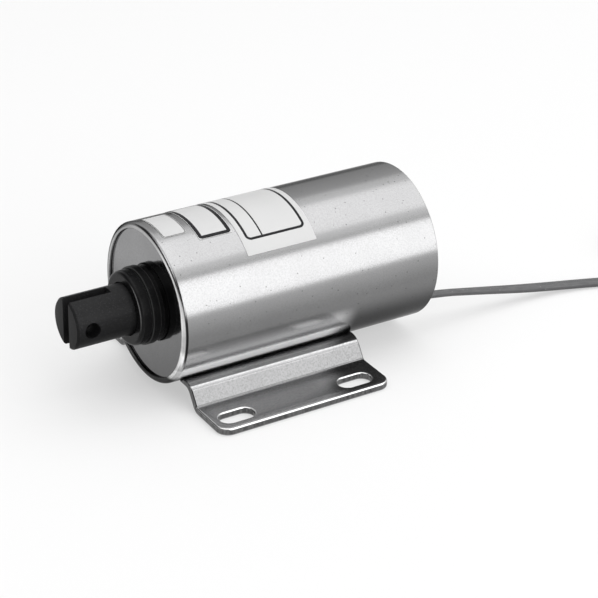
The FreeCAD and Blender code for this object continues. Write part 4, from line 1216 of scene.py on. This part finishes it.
tie = {"x": 168.0, "y": 8.5, "width": 4.0, "build": 8.2, "height": 2.8, "wall": 0.8, "play": 0.02,
       "base": 0.5, "across": (-1, -0.94, -0.8, 0.8, 0.94, 1.0),
       "pull": (0.9, 0.99, 1, 1, 0.99, 0.9)}


def makeTie(s):
    # a rounded band round the coil's section
    half, top = s["build"] / 2, s["height"] + s["wall"]
    wide = half + s["wall"]
    outer, _ = roundedLoop([
        (-wide, 0, 0.9, 5), (wide, 0, 0.9, 5), (wide, top, 1.4, 6), (-wide, top, 1.4, 6),
    ])
    centre = outer.mean(0)
    shrink = np.array([(half + s["play"]) / wide, 1 - 2 * s["base"] / top])
    inner = centre + (outer - centre) * shrink
    loops = np.stack([centre + (outer - centre) * p for p in s["pull"]] + [inner] * 2)
    across = np.array([*s["across"], 0.98, -0.98]) * s["width"] / 2
    x = s["x"] + across[:, None] + 0 * loops[..., 0]
    points = np.stack([x, s["y"] + loops[..., 0], np.maximum(loops[..., 1], 0.0)], -1)
    piece = makePiece("coilTie", points, [gridFaces(*points.shape[:2], True, True)], mouldedBlack,
                      "tie_plastic", sharpAngle=50)
    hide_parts("cord_tie")
    return piece


tipPiece = makeTips(tips)
tiePiece = makeTie(tie)
print("rear end and cord ends made")


# Floor, lamps and world

studio = {
    "floor": (-12.0, -12.0, 12.0, 12.0), "floorDrop": 0.00005, "floorColor": gray(0.66),
    "plainShare": 0.5,
    "overhead": {"size": (2.6, 1.55), "height": 1.0, "y": 0.045, "level": 0.68},
    "overheadCore": {"size": (2.6, 0.9), "height": 1.02, "y": -0.03, "level": 1.0},
    "overheadX": 0.15,
    "window": {"size": (2.4, 1.6), "x": 0.85, "y": -1.5, "level": 2.45},
    # levels by height above the horizon, and the directions of the dark line and the dark side
    "under": 0.15, "line": 0.15, "wall": 0.8, "high": 0.92, "dark": 0.04,
    "heights": (0.0, 0.5, 0.51, 0.54, 0.83, 0.9),
    "lineX": (0.1, 0.3), "lineY": (0.5, 0.7), "darkX": (-0.1, -0.3), "darkZ": (0.1, 0.2),
}


def areaLamp(name, size, place, turn, level):
    # level is the lamp's own brightness: power over pi times its area
    data = bpy.data.lights.new(name, "AREA")
    data.shape = "RECTANGLE"
    data.size, data.size_y = size
    data.energy = level * math.pi * size[0] * size[1]
    lamp = addObject(name, data)
    lamp.location = place
    lamp.rotation_euler = turn


def floorMaterial(s):
    # white paper; a share of what camera, metal and glass see of it is plain white, so that the
    # object's shadow stays pale
    material = newMaterial("floorPaper", s["floorColor"], 0.9, 0.0, 0.1)
    ray = addNode(material, "LightPath").outputs
    seen = mathNode("MAXIMUM", ray["Is Camera Ray"], ray["Is Glossy Ray"])
    seen = mathNode("MAXIMUM", seen, ray["Is Transmission Ray"])
    glow = addNode(material, "Emission", Color=gray(1), Strength=1.0)
    mixed = addNode(material, "MixShader")
    share = mathNode("MULTIPLY", seen, s["plainShare"])
    sources = (share, shaderOf(material).outputs[0], glow.outputs[0])
    for output, socket in zip(sources, mixed.inputs):
        link(output, socket)
    link(mixed.outputs[0], material.node_tree.nodes["Material Output"].inputs["Surface"])
    return material


def makeWorld(s):
    world = bpy.data.worlds.new("studioWorld")
    world.use_nodes = True
    x, y, z = axesOf(addNode(world, "TexCoord").outputs["Generated"])
    height = mathNode("ADD", mathNode("MULTIPLY", z, 0.5), 0.5)
    # the dark line on the horizon is only behind the object to the right, where the tube's far
    # top mirrors it
    levels = []
    for line in (s["wall"], s["line"]):
        ramp = addNode(world, "ValToRGB")
        tones = (s["under"], line, line, s["wall"], s["high"], s["high"])
        elements = ramp.color_ramp.elements
        while len(elements) < len(tones):
            elements.new(0.5)
        for element, position, tone in zip(elements, s["heights"], tones):
            element.position = position
            element.color = (*gray(tone), 1)
        link(height, ramp.inputs[0])
        levels.append(ramp.outputs[0])
    behind = mathNode("MULTIPLY", smoothMap(x, *s["lineX"]), smoothMap(y, *s["lineY"]))
    # a dark side to the left, above the horizon, which the rolled front edge mirrors
    left = mathNode("MULTIPLY", smoothMap(x, *s["darkX"]), smoothMap(z, *s["darkZ"]))
    shade = mathNode("SUBTRACT", 1.0, mathNode("MULTIPLY", left, 1 - s["dark"]))
    level = scaleColor(mixColor(behind, *levels), shade)
    link(level, world.node_tree.nodes["Background"].inputs[0])
    bpy.context.scene.world = world


def makeStudio(s):
    x0, y0, x1, y1 = s["floor"]
    mesh = bpy.data.meshes.new("floor")
    mesh.from_pydata([(x0, y0, 0), (x1, y0, 0), (x1, y1, 0), (x0, y1, 0)], [], [(0, 1, 2, 3)])
    floor = addObject("floor", mesh)
    floor.location.z = -s["floorDrop"]
    mesh.materials.append(floorMaterial(s))
    for name in ("overhead", "overheadCore"):
        top = s[name]
        place = (s["overheadX"], top["y"], top["height"])
        areaLamp(name, top["size"], place, (0, 0, 0), top["level"])
    side = s["window"]
    areaLamp("nearWindow", side["size"], (side["x"], side["y"], side["size"][1] / 2),
             (math.radians(90), 0, 0), side["level"])
    makeWorld(s)


makeStudio(studio)
bpy.context.scene.view_settings.view_transform = "Standard"
print("studio made")
